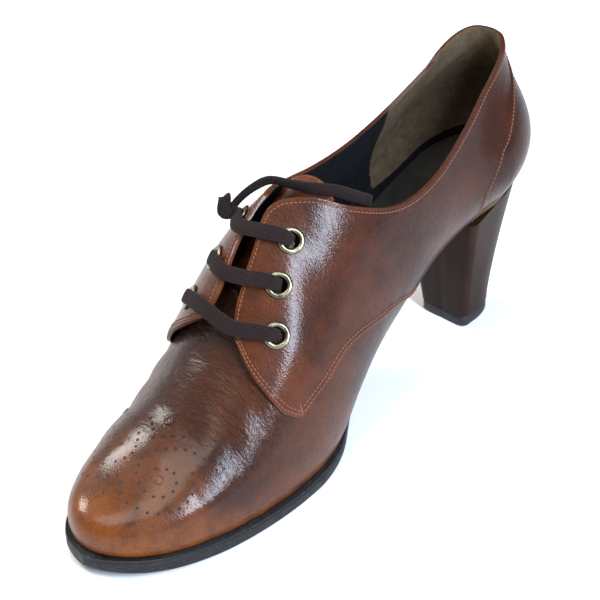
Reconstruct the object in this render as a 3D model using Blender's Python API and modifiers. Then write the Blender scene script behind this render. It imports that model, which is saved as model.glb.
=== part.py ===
"""Heeled lace-up shoe for a woman's right foot, about EU 38, in metres.

The toe points to -Y, the inner side of the foot is +X and the shoe stands on Z = 0.
"station" is the distance from the toe tip along the shoe, "rise" runs from 0 at the
feather line, where upper and sole meet, to 1 at the top line of the last.
"""
import math

import bmesh
import bpy
import numpy as np
from mathutils import Vector

# Driving sizes
MIDDLE_X = -0.00682
MIDDLE_STATION = 0.1193
GAP = 0.0003
INNER = 1
OUTER = -1

# The last in plan
BALL_STATION = {INNER: 0.076, OUTER: 0.103}
TOE_ROUNDNESS = {INNER: 2.15, OUTER: 1.66}
TOE_OFFSET = -0.0012
SEAT_START = 0.208
SEAT_END = 0.2370
HEEL_FAN = 0.030
TOE_FAN = 0.034
COLLAR_END = 0.2290
COLLAR_HEIGHT = 0.1205
BACK_TAB = 1.30
BACK_DROP = 88.0

# Half widths of the feather line behind the ball: station, inner, outer
WAIST = (
    (0.076, 0.0330, 0.0456),
    (0.090, 0.0320, 0.0470),
    (0.103, 0.0284, 0.0476),
    (0.116, 0.0218, 0.0450),
    (0.130, 0.0155, 0.0395),
    (0.150, 0.0125, 0.0320),
    (0.170, 0.0130, 0.0268),
    (0.190, 0.0165, 0.0235),
    (0.208, 0.0210, 0.0220),
)

# Height of the feather line: station, height
FEATHER = (
    (0.000, 0.0100),
    (0.015, 0.0078),
    (0.040, 0.0063),
    (0.086, 0.0063),
    (0.105, 0.0082),
    (0.125, 0.0152),
    (0.150, 0.0290),
    (0.170, 0.0425),
    (0.190, 0.0540),
    (0.208, 0.0610),
    (0.237, 0.0670),
)

# Top line of the last, a ridge as far as the throat and then the collar:
# station, inner x, outer x, inner height, outer height, inner drop, outer drop (degrees below level)
TOP_LINE = (
    (0.034, 0.0000, 0.0000, 0.0315, 0.0315, 0, 0),
    (0.050, 0.0010, 0.0010, 0.0412, 0.0412, 4, 4),
    (0.065, 0.0018, 0.0018, 0.0545, 0.0545, 9, 9),
    (0.080, 0.0010, 0.0010, 0.0730, 0.0730, 17, 17),
    (0.092, -0.0010, -0.0010, 0.0889, 0.0889, 26, 26),
    (0.103, -0.0024, -0.0024, 0.1012, 0.1012, 34, 34),
    (0.112, 0.0064, -0.0076, 0.1036, 0.1014, 46, 46),
    (0.125, 0.0178, -0.0135, 0.0978, 0.0966, 60, 60),
    (0.142, 0.0226, -0.0170, 0.0912, 0.0922, 70, 70),
    (0.165, 0.0226, -0.0188, 0.0915, 0.0912, 74, 74),
    (0.188, 0.0196, -0.0176, 0.1008, 0.0972, 76, 76),
    (0.208, 0.0148, -0.0137, 0.1110, 0.1082, 76, 76),
)
INNER_HEIGHT = 3

# Fullness of the sides: station, inner lean, outer lean (degrees outward at the feather),
# inner low, outer low, inner high, outer high (pull of the curve as a share of its span)
FULLNESS = (
    (0.000, 8, 8, 0.50, 0.50, 0.60, 0.60),
    (0.020, 10, 6, 0.48, 0.42, 0.58, 0.52),
    (0.045, 13, 4, 0.42, 0.34, 0.52, 0.37),
    (0.070, 14, 4, 0.36, 0.28, 0.44, 0.29),
    (0.095, 18, 2, 0.34, 0.25, 0.38, 0.28),
    (0.115, 28, 4, 0.36, 0.26, 0.34, 0.28),
    (0.130, 36, 10, 0.38, 0.30, 0.32, 0.28),
    (0.150, 40, 20, 0.42, 0.34, 0.34, 0.32),
    (0.170, 40, 26, 0.44, 0.38, 0.36, 0.34),
    (0.190, 42, 35, 0.48, 0.46, 0.36, 0.36),
    (0.208, 42, 36, 0.50, 0.48, 0.36, 0.36),
    (0.237, 26, 26, 0.46, 0.46, 0.36, 0.36),
)

# Upper
WALL = 0.0018
QUARTER_PROUD = 0.0009
COUNTER_PROUD = 0.0003
COUNTER_STEP = 0.05
COUNTER_FADE = 0.70
THROAT = 0.082
WING_END = 0.186
QUARTER_FOOT = 0.012
# Sections of the upper's sheets: round the toe, over the instep, along the wing, up each section
VAMP_TOE_STEPS = 8
VAMP_INSTEP_STEPS = 7
VAMP_WING_STEPS = 10
VAMP_ROWS = 11
# Closer sections where the vamp's edge drops away behind the throat
THROAT_GIRTHS = (0.0835, 0.0855, 0.0885)
QUARTER_COLUMNS = 22
QUARTER_ROWS = 11
# Columns crowd toward the facing
QUARTER_CROWDING = 1.25
COUNTER_COLUMNS = 6
COUNTER_CLIMB = 1.3

# Edge of the vamp, hidden below the quarters: girth, rise
VAMP_EDGE = (
    (0.0820, 1.00),
    (0.0860, 0.80),
    (0.0920, 0.64),
    (0.1050, 0.54),
    (0.1250, 0.52),
    (0.1400, 0.47),
    (0.1550, 0.36),
    (0.1720, 0.20),
    (0.1860, 0.10),
)

# Seam from the stitched corner of the facing back to the feather line: girth, rise
SEAM = {
    INNER: (
        (0.0775, 0.410),
        (0.0950, 0.413),
        (0.1150, 0.425),
        (0.1380, 0.408),
        (0.1550, 0.250),
        (0.1680, 0.100),
        (0.1760, QUARTER_FOOT),
    ),
    OUTER: (
        (0.0840, 0.330),
        (0.1000, 0.345),
        (0.1200, 0.350),
        (0.1400, 0.310),
        (0.1550, 0.210),
        (0.1680, 0.090),
        (0.1760, QUARTER_FOOT),
    ),
}

# Free front edge of the facing, from its stitched corner to beside the ridge: girth, rise
FACING = {
    INNER: (
        (0.0775, 0.410),
        (0.0722, 0.520),
        (0.0703, 0.650),
        (0.0706, 0.800),
        (0.0735, 0.925),
    ),
    OUTER: (
        (0.0840, 0.330),
        (0.0778, 0.450),
        (0.0748, 0.600),
        (0.0738, 0.750),
        (0.0752, 0.900),
    ),
}

# Upper edge of the quarter, beside the ridge and then along the collar: girth, rise
COLLAR = {
    INNER: (
        (0.0735, 0.925),
        (0.0785, 0.970),
        (0.0870, 0.984),
        (0.0960, 0.988),
        (0.1020, 0.990),
        (0.1050, 0.995),
        (0.1075, 1.000),
        (0.1120, 1.000),
        (0.1400, 1.000),
        (0.1800, 1.000),
        (0.2330, 1.000),
    ),
    OUTER: (
        (0.0752, 0.900),
        (0.0800, 0.940),
        (0.0870, 0.950),
        (0.0960, 0.952),
        (0.1020, 0.960),
        (0.1050, 0.978),
        (0.1075, 1.000),
        (0.1120, 1.000),
        (0.1400, 1.000),
        (0.1800, 1.000),
        (0.2330, 1.000),
    ),
}

# Edge of the quarter over the counter, from the feather line to the collar: girth, rise
COUNTER_SEAM = (
    (0.1945, QUARTER_FOOT),
    (0.1955, 0.110),
    (0.1975, 0.325),
    (0.2040, 0.450),
    (0.2095, 0.560),
    (0.2180, 0.700),
    (0.2270, 0.800),
    (0.2310, 0.880),
    (0.2330, 1.000),
)

# How far the free flap of each facing stands off at its front, and the share of it
# up the front edge: way from the stitched corner, share
FLAP_LIFT = {INNER: 0.0017, OUTER: 0.0054}
FLAP_REACH = 0.32
FLAP_PROFILE = (
    (0.00, 0.00),
    (0.20, 0.12),
    (0.50, 0.70),
    (0.75, 1.00),
    (1.00, 1.00),
)

# Sole
SOLE_BOTTOM = 0.0
# Thickness and how far the edge stands out past the feather line: station, thickness, inner, outer
SOLE_EDGE = (
    (0.000, 0.0058, 0.0022, 0.0022),
    (0.015, 0.0059, 0.0022, 0.0010),
    (0.040, 0.0060, 0.0022, 0.0008),
    (0.086, 0.0060, 0.0022, 0.0014),
    (0.103, 0.0056, 0.0016, 0.0014),
    (0.125, 0.0044, -0.0006, 0.0004),
    (0.150, 0.0036, -0.0014, -0.0008),
    (0.190, 0.0034, -0.0012, -0.0010),
    (0.208, 0.0034, -0.0006, -0.0006),
    (0.237, 0.0034, -0.0006, -0.0006),
)
SOLE_CHAMFER = 0.0009
# Steps along sole and insole: round the toe, along the sides, round the seat
SOLE_STEPS = (10, 18, 7)
INSOLE_STEPS = (9, 20, 7)
TOE_STEPS_END = 0.045
# The end rings stop this far short, so that they keep a width
TIP_CUT = 0.00012

# Heel
HEEL_TIP = 0.0050
HEEL_TIP_INSET = 0.0004
BREAST_BOTTOM = 0.1960
BREAST_TOP = 0.1952
HEEL_BACK_BOTTOM = 0.2200
HEEL_BACK_TOP = 0.2355
HEEL_HALF_BOTTOM = 0.0120
HEEL_HALF_TOP = 0.0200
HEEL_MIDDLE_BOTTOM = 0.0028
HEEL_CORNER = 0.0035
HEEL_FLARE = 1.25
HEEL_LEVELS = 9
HEEL_CORNER_STEPS = 4
HEEL_BACK_STEPS = 16
# Share of the heel's depth with straight sides, and what it gains toward the top
HEEL_STRAIGHT = 0.30
HEEL_STRAIGHT_GAIN = 0.10
HEEL_ROUNDNESS = 0.9
HEEL_TIP_EDGE = 0.0004

# Insole and tongue
INSOLE_THICKNESS = 0.0020
INSOLE_INSET = 0.0031
INSOLE_FLOAT = 0.0002
TONGUE_THICKNESS = 0.0016
TONGUE_CLEAR = 0.0004
TONGUE_START = 0.0725
TONGUE_LAST_GIRTH = 0.1100
TONGUE_RISE = 0.82
TONGUE_HALF_STEPS = 5
TONGUE_STEPS = 9
TONGUE_TOP_STEPS = 4
TONGUE_TOP_X = 0.0012
TONGUE_TOP_HALF = 0.0105
TONGUE_TOP_STATION = 0.1245
TONGUE_TOP_HEIGHT = 0.1040
TONGUE_TOP_CROWN = 0.0040
TONGUE_TOP_ROUND = 0.0025

# Eyelets: way into the facing, way along its edge
EYELETS = {
    INNER: ((0.087, 0.61), (0.139, 0.74), (0.203, 0.79)),
    OUTER: ((0.060, 0.64), (0.115, 0.79), (0.180, 0.85)),
}
EYELET_HOLE = 0.0029
EYELET_BARREL = 0.0034
EYELET_FLANGE = 0.0049
EYELET_HIGH = 0.0009
EYELET_SEAT = 0.0008
EYELET_DEPTH = 0.0015
EYELET_SEGMENTS = 16
PUNCH_LENGTH = 0.008

# Laces: three flat bars and the free end
LACE_WIDTH = 0.0060
LACE_THICKNESS = 0.0015
LACE_OVER_EYELET = 0.0037
LACE_OVER_QUARTER = 0.0032
LACE_OVER_EDGE = 0.0019
# Where each bar crosses the inner and the outer facing's edge: way into it, way along it
LACE_CROSSINGS = {
    "low": ((0.022, 0.96), (0.022, 0.95)),
    "middle": ((0.085, 1.00), (0.075, 1.00)),
    "top": ((0.150, 1.00), (0.140, 1.00)),
}
LACE_STEPS = 14
LACE_CORNERS = 10
LACE_SQUARENESS = 0.6
LACE_TAIL_RADIUS = 0.0015
LACE_TAIL_STEP = 0.0030
# Middle line of the free end: x, station, height
LACE_TAIL = (
    (-0.0200, 0.1015, 0.0935),
    (-0.0185, 0.1050, 0.0968),
    (-0.0145, 0.1086, 0.1014),
    (-0.0085, 0.1112, 0.1054),
    (-0.0010, 0.1140, 0.1052),
    (0.0060, 0.1175, 0.1046),
    (0.0110, 0.1230, 0.1030),
    (0.0150, 0.1300, 0.0985),
    (0.0165, 0.1370, 0.0935),
)


def smooth(rows, column, x):
    """Read one column of a table at x on a smooth curve through its rows."""
    xs = [row[0] for row in rows]
    ys = [row[column] for row in rows]
    x = min(max(x, xs[0]), xs[-1])
    steps = [b - a for a, b in zip(xs, xs[1:])]
    slopes = [(b - a) / h for a, b, h in zip(ys, ys[1:], steps)]
    tangents = [slopes[0]]
    for i in range(1, len(slopes)):
        weighted = slopes[i - 1] * steps[i] + slopes[i] * steps[i - 1]
        tangents.append(weighted / (steps[i - 1] + steps[i]))
    tangents.append(slopes[-1])
    i = 0
    while i < len(steps) - 1 and x > xs[i + 1]:
        i += 1
    t = (x - xs[i]) / steps[i]
    ends = (2 * t**3 - 3 * t**2 + 1) * ys[i] + (3 * t**2 - 2 * t**3) * ys[i + 1]
    pulls = (t**3 - 2 * t**2 + t) * tangents[i] + (t**3 - t**2) * tangents[i + 1]
    return ends + steps[i] * pulls


def side_column(side):
    """Tables give the inner side first and the outer side after it."""
    return 1 if side == INNER else 2


def half_width(side, station, grow=0.0):
    """Half width of the last's bottom at a station, grown by an edge."""
    if station < BALL_STATION[side]:
        share = max(1.0 - (station + grow) / BALL_STATION[side], 0.0)
        round_share = max(1.0 - share ** TOE_ROUNDNESS[side], 0.0)
        return (smooth(WAIST, side_column(side), BALL_STATION[side]) + grow) * math.sqrt(round_share)
    if station <= SEAT_START:
        return smooth(WAIST, side_column(side), station) + grow
    widest = WAIST[-1][side_column(side)] + grow
    share = min((station - SEAT_START) / (SEAT_END + grow - SEAT_START), 1.0)
    return widest * math.sqrt(1.0 - share**2)


def middle(station):
    """The toe tip lies a little off the line through the heel."""
    return TOE_OFFSET * max(1.0 - station / BALL_STATION[INNER], 0.0) ** 2


def place(x, station, height):
    """A point of the shoe in the part's own frame."""
    return np.array((x - MIDDLE_X, station - MIDDLE_STATION, height))


def fan_angle(girth):
    """Angle of a section in the toe fan or the heel fan, or None on the sides."""
    if girth < TOE_FAN:
        return girth / TOE_FAN * math.pi / 2
    if girth > SEAT_START:
        return min((girth - SEAT_START) / HEEL_FAN, 1.0) * math.pi / 2
    return None


def foot_station(girth):
    """Station of a section's foot: sections stand square to the line on the sides."""
    angle = fan_angle(girth)
    if angle is None:
        return girth
    if girth < TOE_FAN:
        return TOE_FAN * (1.0 - math.cos(angle))
    return SEAT_START + (SEAT_END - SEAT_START) * math.sin(angle)


def foot_point(side, girth):
    station = foot_station(girth)
    x = middle(station) + side * half_width(side, station)
    return place(x, station, smooth(FEATHER, 1, station))


def outward(side, girth):
    """Level direction square to the feather line."""
    last_girth = SEAT_START + HEEL_FAN
    if girth < 1e-6:
        return np.array((0.0, -1.0, 0.0))
    if girth > last_girth - 1e-6:
        return np.array((0.0, 1.0, 0.0))
    step = 1e-5
    along = foot_point(side, min(girth + step, last_girth)) - foot_point(side, max(girth - step, 0.0))
    normal = side * np.array((along[1], -along[0], 0.0))
    return normal / np.linalg.norm(normal)


def top_point(side, girth):
    """Top of a section, and how steeply the section leaves it."""
    column = side_column(side)
    if girth <= SEAT_START:
        station = max(girth, TOE_FAN)
        point = place(smooth(TOP_LINE, column, station), station, smooth(TOP_LINE, 2 + column, station))
        return point, smooth(TOP_LINE, 4 + column, station)
    corner = TOP_LINE[-1]
    angle = fan_angle(girth)
    station = SEAT_START + (COLLAR_END - SEAT_START) * math.sin(angle)
    climb = math.sin(min(BACK_TAB * angle, math.pi / 2))
    height = corner[2 + column] + (COLLAR_HEIGHT - corner[2 + column]) * climb
    drop = corner[4 + column] + (BACK_DROP - corner[4 + column]) * math.sin(angle)
    return place(corner[column] * math.cos(angle), station, height), drop


SECTIONS = {}


def section(side, girth):
    """The four guide points of one section of the last, from the feather line to the top line."""
    key = (side, round(girth, 7))
    if key in SECTIONS:
        return SECTIONS[key]
    column = side_column(side)
    station = foot_station(girth)
    foot = foot_point(side, girth)
    top, drop = top_point(side, girth)
    normal = outward(side, girth)
    span = np.linalg.norm(top - foot)
    lean = math.radians(smooth(FULLNESS, column, station))
    low = foot + span * smooth(FULLNESS, 2 + column, station) * (
        math.sin(lean) * normal + math.cos(lean) * np.array((0.0, 0.0, 1.0)))
    if girth < TOE_FAN:
        away = foot - top
        away[2] = 0.0
        away /= np.linalg.norm(away)
        ridge_step = 0.002
        ridge_rise = smooth(TOP_LINE, INNER_HEIGHT, TOE_FAN + ridge_step) - TOP_LINE[0][INNER_HEIGHT]
        drop = math.atan(ridge_rise / ridge_step * max(-away[1], 0.0))
    else:
        away = normal if girth > SEAT_START else np.array((float(side), 0.0, 0.0))
        drop = math.radians(drop)
    high = top + span * smooth(FULLNESS, 4 + column, station) * (
        math.cos(drop) * away - math.sin(drop) * np.array((0.0, 0.0, 1.0)))
    SECTIONS[key] = (foot, low, high, top)
    return SECTIONS[key]


def last_point(side, girth, rise):
    """A point on the last."""
    foot, low, high, top = section(side, girth)
    fall = 1.0 - rise
    return fall**3 * foot + 3 * fall**2 * rise * low + 3 * fall * rise**2 * high + rise**3 * top


def normal_of(surface, a, b, side, step=0.004):
    """Outward normal of a surface given as a function of two shares."""
    a0, a1 = max(a - step, 0.0), min(a + step, 1.0)
    b0, b1 = max(b - step, 0.0), min(b + step, 1.0)
    along = surface(a1, b) - surface(a0, b)
    upward = surface(a, b1) - surface(a, b0)
    normal = side * np.cross(along, upward)
    return normal / np.linalg.norm(normal)


def last_normal(side, girth, rise):
    """Outward normal of the last."""
    end = SEAT_START + HEEL_FAN
    rise = min(rise, 0.985)
    return normal_of(lambda a, b: last_point(side, a * end, b), girth / end, rise, side)


def path(rows):
    """A curve through rows of girth and rise, as a function of the share of its length."""
    rise_scale = 0.075
    ways = [0.0]
    for (g0, r0), (g1, r1) in zip(rows, rows[1:]):
        ways.append(ways[-1] + math.hypot(g1 - g0, (r1 - r0) * rise_scale))
    table = [(way / ways[-1], girth, rise) for way, (girth, rise) in zip(ways, rows)]
    return lambda share: np.array((smooth(table, 1, share), smooth(table, 2, share)))


def patch(foot, top, front, back):
    """Fill four curves that meet at their ends with a sheet of girths and rises."""
    def sheet(a, b):
        edges = (1 - b) * foot(a) + b * top(a) + (1 - a) * front(b) + a * back(b)
        corners = (1 - a) * ((1 - b) * foot(0.0) + b * top(0.0)) + a * ((1 - b) * foot(1.0) + b * top(1.0))
        return edges - corners
    return sheet


def level_path(girth_a, girth_b, rise):
    return path(((girth_a, rise), ((girth_a + girth_b) / 2, rise), (girth_b, rise)))


def quarter_sheet(side):
    """Sheet of the quarter from its facing edge to the counter seam."""
    seam = SEAM[side] + ((0.1850, QUARTER_FOOT), COUNTER_SEAM[0])
    return patch(path(seam), path(COLLAR[side]), path(FACING[side]), path(COUNTER_SEAM))


def counter_sheet():
    """Sheet of the counter from its seam to the middle of the back."""
    end = SEAT_START + HEEL_FAN
    low = level_path(COUNTER_SEAM[0][0], end, QUARTER_FOOT)
    high = level_path(COUNTER_SEAM[-1][0], end, 1.0)
    back = path(((end, QUARTER_FOOT), (end, 0.5), (end, 1.0)))
    return patch(low, high, path(COUNTER_SEAM), back)


def flap_lift(side, a, b):
    """How far the facing stands off the last near its free edge."""
    share = max(1.0 - a / FLAP_REACH, 0.0)
    return FLAP_LIFT[side] * smooth(FLAP_PROFILE, 1, b) * share**2 * (3 - 2 * share)


def quarter_point(side, a, b, proud=QUARTER_PROUD):
    """A point of the quarter's outer face, flap included."""
    girth, rise = quarter_sheet(side)(a, b)
    rise = min(max(rise, 0.0), 1.0)
    lift = proud + flap_lift(side, a, b)
    return last_point(side, girth, rise) + lift * last_normal(side, girth, rise)


def quarter_normal(side, a, b):
    return normal_of(lambda p, q: quarter_point(side, p, q), a, b, side, 0.02)


def make_material(name, color, roughness, metallic=0.0):
    material = bpy.data.materials.new(name)
    material.use_nodes = True
    shader = material.node_tree.nodes["Principled BSDF"]
    shader.inputs["Base Color"].default_value = (*color, 1.0)
    shader.inputs["Roughness"].default_value = roughness
    shader.inputs["Metallic"].default_value = metallic
    return material


def new_object(name, data, collection, material=None):
    piece = bpy.data.objects.new(name, data)
    collection.objects.link(piece)
    if material:
        data.materials.append(material)
    return piece


def grid_mesh(name, grids, merge=1e-6):
    """Mesh of one or more grids of points, joined where their edges meet."""
    mesh = bpy.data.meshes.new(name)
    shape = bmesh.new()
    for grid, flip in grids:
        rows = [[shape.verts.new(tuple(point)) for point in row] for row in grid]
        for row, following in zip(rows, rows[1:]):
            for i in range(len(row) - 1):
                corners = [row[i], following[i], following[i + 1], row[i + 1]]
                shape.faces.new(reversed(corners) if flip else corners)
    bmesh.ops.remove_doubles(shape, verts=shape.verts, dist=merge)
    bmesh.ops.dissolve_degenerate(shape, edges=shape.edges, dist=merge)
    shape.to_mesh(mesh)
    shape.free()
    return mesh


def solidify(piece, thickness, offset):
    wall = piece.modifiers.new("wall", "SOLIDIFY")
    wall.thickness = thickness
    wall.offset = offset
    wall.use_even_offset = False
    return wall


def boolean(piece, other, operation):
    other.hide_render = True
    other.display_type = "WIRE"
    cut = piece.modifiers.new(operation.lower(), "BOOLEAN")
    cut.operation = operation
    cut.object = other
    cut.solver = "EXACT"
    return cut


def smooth_shade(piece, angle=40.0):
    piece.data.shade_smooth()
    piece.data.set_sharp_from_angle(angle=math.radians(angle))


def spread(start, end, count):
    return [start + (end - start) * i / count for i in range(count + 1)]


def vamp_grids():
    """The vamp from the feather line to the ridge, and its wings below the quarters."""
    girths = spread(0.0, TOE_FAN, VAMP_TOE_STEPS) + spread(TOE_FAN, THROAT, VAMP_INSTEP_STEPS)[1:]
    girths += [*THROAT_GIRTHS] + spread(THROAT_GIRTHS[-1], WING_END, VAMP_WING_STEPS)[1:]
    grids = []
    for side in (INNER, OUTER):
        grid = []
        for girth in girths:
            edge = 1.0 if girth <= THROAT else smooth(VAMP_EDGE, 1, girth)
            grid.append([last_point(side, girth, edge * share) for share in spread(0.0, 1.0, VAMP_ROWS)])
        grids.append((grid, side == OUTER))
    return grids


def quarter_grids():
    """Both quarters and the counter as one horseshoe, outer faces only."""
    grids = []
    counter = counter_sheet()
    ups = spread(0.0, 1.0, QUARTER_ROWS)
    for side in (INNER, OUTER):
        grid = []
        for share in spread(0.0, 1.0, QUARTER_COLUMNS):
            grid.append([quarter_point(side, share**QUARTER_CROWDING, up) for up in ups])
        for a in spread(0.0, 1.0, COUNTER_COLUMNS):
            line = []
            for up in ups:
                girth, rise = counter(max(a, COUNTER_STEP), up)
                fade = max(up - COUNTER_FADE, 0.0) / (1.0 - COUNTER_FADE)
                proud = COUNTER_PROUD + (QUARTER_PROUD - COUNTER_PROUD) * min(COUNTER_CLIMB * fade, 1.0)
                lift = proud * last_normal(side, girth, rise)
                if a == 1.0:
                    lift[0] = 0.0
                line.append(last_point(side, girth, rise) + lift)
            grid.append(line)
        grids.append((grid, side == OUTER))
    return grids


def build_upper(shoe, cutters, leather):
    """One hollow shell: vamp and quarters joined, open at the collar, the throat and underneath."""
    upper = new_object("upper", grid_mesh("upper", vamp_grids()), shoe, leather)
    solidify(upper, WALL, -1.0)
    quarters = new_object("quarters", grid_mesh("quarters", quarter_grids()), cutters)
    solidify(quarters, WALL, -1.0)
    for side, spots in EYELETS.items():
        for number, (a, b) in enumerate(spots):
            name = "punch_%s_%d" % ("inner" if side == INNER else "outer", number)
            punch = eyelet_frame(name, cutters, side, a, b, EYELET_BARREL + GAP)
            boolean(quarters, punch, "DIFFERENCE")
    boolean(upper, quarters, "UNION")
    smooth_shade(upper)
    return upper


def aim(piece, point, normal):
    """Stand a piece on a point with its own Z along the normal."""
    piece.rotation_mode = "QUATERNION"
    piece.rotation_quaternion = Vector(tuple(normal)).to_track_quat("Z", "Y")
    piece.location = tuple(point)


def eyelet_frame(name, collection, side, a, b, radius):
    """A punch through the facing."""
    bpy.ops.mesh.primitive_cylinder_add(vertices=EYELET_SEGMENTS, radius=radius, depth=PUNCH_LENGTH)
    punch = bpy.context.object
    punch.name = name
    for other in list(punch.users_collection):
        other.objects.unlink(punch)
    collection.objects.link(punch)
    aim(punch, quarter_point(side, a, b), quarter_normal(side, a, b))
    return punch


def build_eyelet(shoe, name, side, a, b, brass):
    """A rolled flange on the facing with its barrel through the hole."""
    low = -EYELET_DEPTH
    seat = EYELET_SEAT
    middle_radius = (EYELET_HOLE + EYELET_FLANGE) / 2
    profile = [
        (EYELET_HOLE, low),
        (EYELET_HOLE, seat + EYELET_HIGH * 0.55),
        (middle_radius - 0.0004, seat + EYELET_HIGH),
        (middle_radius + 0.0003, seat + EYELET_HIGH),
        (EYELET_FLANGE - 0.0001, seat + EYELET_HIGH * 0.5),
        (EYELET_FLANGE, seat),
        (EYELET_BARREL, seat),
        (EYELET_BARREL, low),
    ]
    mesh = bpy.data.meshes.new(name)
    points = [(radius, 0.0, height) for radius, height in profile]
    edges = [(i, (i + 1) % len(points)) for i in range(len(points))]
    mesh.from_pydata(points, edges, [])
    eyelet = new_object(name, mesh, shoe, brass)
    turn = eyelet.modifiers.new("turn", "SCREW")
    turn.steps = EYELET_SEGMENTS
    turn.render_steps = EYELET_SEGMENTS
    turn.use_merge_vertices = True
    turn.merge_threshold = 0.00001
    aim(eyelet, quarter_point(side, a, b), quarter_normal(side, a, b))
    return eyelet


def loft(name, rings):
    """Closed solid through rings with the same number of points, flat caps at both ends."""
    mesh = bpy.data.meshes.new(name)
    shape = bmesh.new()
    loops = [[shape.verts.new(tuple(point)) for point in ring] for ring in rings]
    count = len(rings[0])
    for ring, following in zip(loops, loops[1:]):
        for i in range(count):
            j = (i + 1) % count
            shape.faces.new((ring[i], ring[j], following[j], following[i]))
    shape.faces.new(reversed(loops[0]))
    shape.faces.new(loops[-1])
    bmesh.ops.recalc_face_normals(shape, faces=shape.faces)
    shape.to_mesh(mesh)
    shape.free()
    return mesh


def long_stations(start, end, toe_steps, side_steps, seat_steps):
    """Stations that crowd together at the round toe and the round seat."""
    tip, back = start + TIP_CUT, end - TIP_CUT
    stations = [tip + (TOE_STEPS_END - tip) * (1 - math.cos(math.pi / 2 * i / toe_steps)) for i in range(toe_steps)]
    stations += spread(TOE_STEPS_END, SEAT_START, side_steps)
    stations += [SEAT_START + (back - SEAT_START) * math.sin(math.pi / 2 * (i + 1) / seat_steps)
                 for i in range(seat_steps)]
    return stations


def sole_bottom(station):
    return smooth(FEATHER, 1, station) - GAP - smooth(SOLE_EDGE, 1, station)


def build_outsole(shoe, rubber):
    """Flat across, with toe spring, a tread flat, a rising waist and a seat on the heel."""
    rings = []
    grow_toe = SOLE_EDGE[0][2]
    grow_back = SOLE_EDGE[-1][2]
    for station in long_stations(-grow_toe, SEAT_END + grow_back, *SOLE_STEPS):
        held = max(station, 0.0)
        inner = half_width(INNER, station, smooth(SOLE_EDGE, 2, held))
        outer = half_width(OUTER, station, smooth(SOLE_EDGE, 3, held))
        shift = middle(held)
        top = smooth(FEATHER, 1, held) - GAP
        low = max(top - smooth(SOLE_EDGE, 1, held), SOLE_BOTTOM)
        cut = min(SOLE_CHAMFER, inner * 0.4, outer * 0.4)
        outline = [
            (-outer + cut, low), (-outer * 0.4, low), (inner * 0.4, low), (inner - cut, low), (inner, low + cut),
            (inner, top - cut * 0.5), (inner - cut * 0.5, top), (inner * 0.4, top), (-outer * 0.4, top),
            (-outer + cut * 0.5, top), (-outer, top - cut * 0.5), (-outer, low + cut),
        ]
        rings.append([place(shift + x, station, z) for x, z in outline])
    sole = new_object("outsole", loft("outsole", rings), shoe, rubber)
    smooth_shade(sole, 30.0)
    return sole


def heel_outline(front, back, center, half, corner, level):
    """Outline of the heel at one level: flat breast, rounded corners, straight sides, round back."""
    side_end = front + (back - front) * (HEEL_STRAIGHT + HEEL_STRAIGHT_GAIN * level)
    points = []
    for angle in spread(0.0, math.pi / 2, HEEL_CORNER_STEPS):
        points.append((center + half - corner + corner * math.sin(angle), front + corner - corner * math.cos(angle)))
    for i in range(HEEL_BACK_STEPS + 1):
        angle = math.pi * i / HEEL_BACK_STEPS
        reach = math.sin(angle) ** HEEL_ROUNDNESS
        points.append((center + half * math.cos(angle), side_end + (back - side_end) * reach))
    for angle in spread(math.pi / 2, 0.0, HEEL_CORNER_STEPS):
        points.append((center - half + corner - corner * math.sin(angle), front + corner - corner * math.cos(angle)))
    return points


def heel_ring(level, inset=0.0):
    """Breast and back positions, half width and corner of the heel at a level from 0 to 1."""
    flare = level**HEEL_FLARE
    front = BREAST_BOTTOM + (BREAST_TOP - BREAST_BOTTOM) * level + inset
    back = HEEL_BACK_BOTTOM + (HEEL_BACK_TOP - HEEL_BACK_BOTTOM) * flare - inset
    half = HEEL_HALF_BOTTOM + (HEEL_HALF_TOP - HEEL_HALF_BOTTOM) * flare - inset
    center = HEEL_MIDDLE_BOTTOM * (1.0 - level)
    return heel_outline(front, back, center, half, HEEL_CORNER - inset, level)


def build_heel(shoe, cover, rubber):
    """Covered block heel under the seat, and the tip it stands on."""
    base = HEEL_TIP + GAP
    rings = []
    for i in range(HEEL_LEVELS + 1):
        level = i / HEEL_LEVELS
        ring = []
        for x, station in heel_ring(level):
            high = sole_bottom(station) - GAP
            ring.append(place(x, station, base + (high - base) * level))
        rings.append(ring)
    heel = new_object("heel", loft("heel", rings), shoe, cover)
    smooth_shade(heel, 50.0)
    foot = [[place(x, station, z) for x, station in heel_ring(0.0, HEEL_TIP_INSET)] for z in (0.0, HEEL_TIP)]
    tip = new_object("heel_tip", loft("heel_tip", foot), shoe, rubber)
    edge = tip.modifiers.new("edge", "BEVEL")
    edge.width = HEEL_TIP_EDGE
    edge.segments = 1
    edge.limit_method = "ANGLE"
    edge.angle_limit = math.radians(50)
    return heel, tip


def build_insole(shoe, cloth):
    """Thin footbed along the whole inside."""
    rings = []
    grow = -INSOLE_INSET
    for station in long_stations(INSOLE_INSET, SEAT_END - INSOLE_INSET, *INSOLE_STEPS):
        inner = half_width(INNER, station, grow)
        outer = half_width(OUTER, station, grow)
        shift = middle(station)
        low = smooth(FEATHER, 1, station) + INSOLE_FLOAT
        high = low + INSOLE_THICKNESS
        outline = [(-outer, low), (0.0, low), (inner, low), (inner, high), (0.0, high), (-outer, high)]
        rings.append([place(shift + x, station, z) for x, z in outline])
    insole = new_object("insole", loft("insole", rings), shoe, cloth)
    smooth_shade(insole, 40.0)
    return insole


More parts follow.
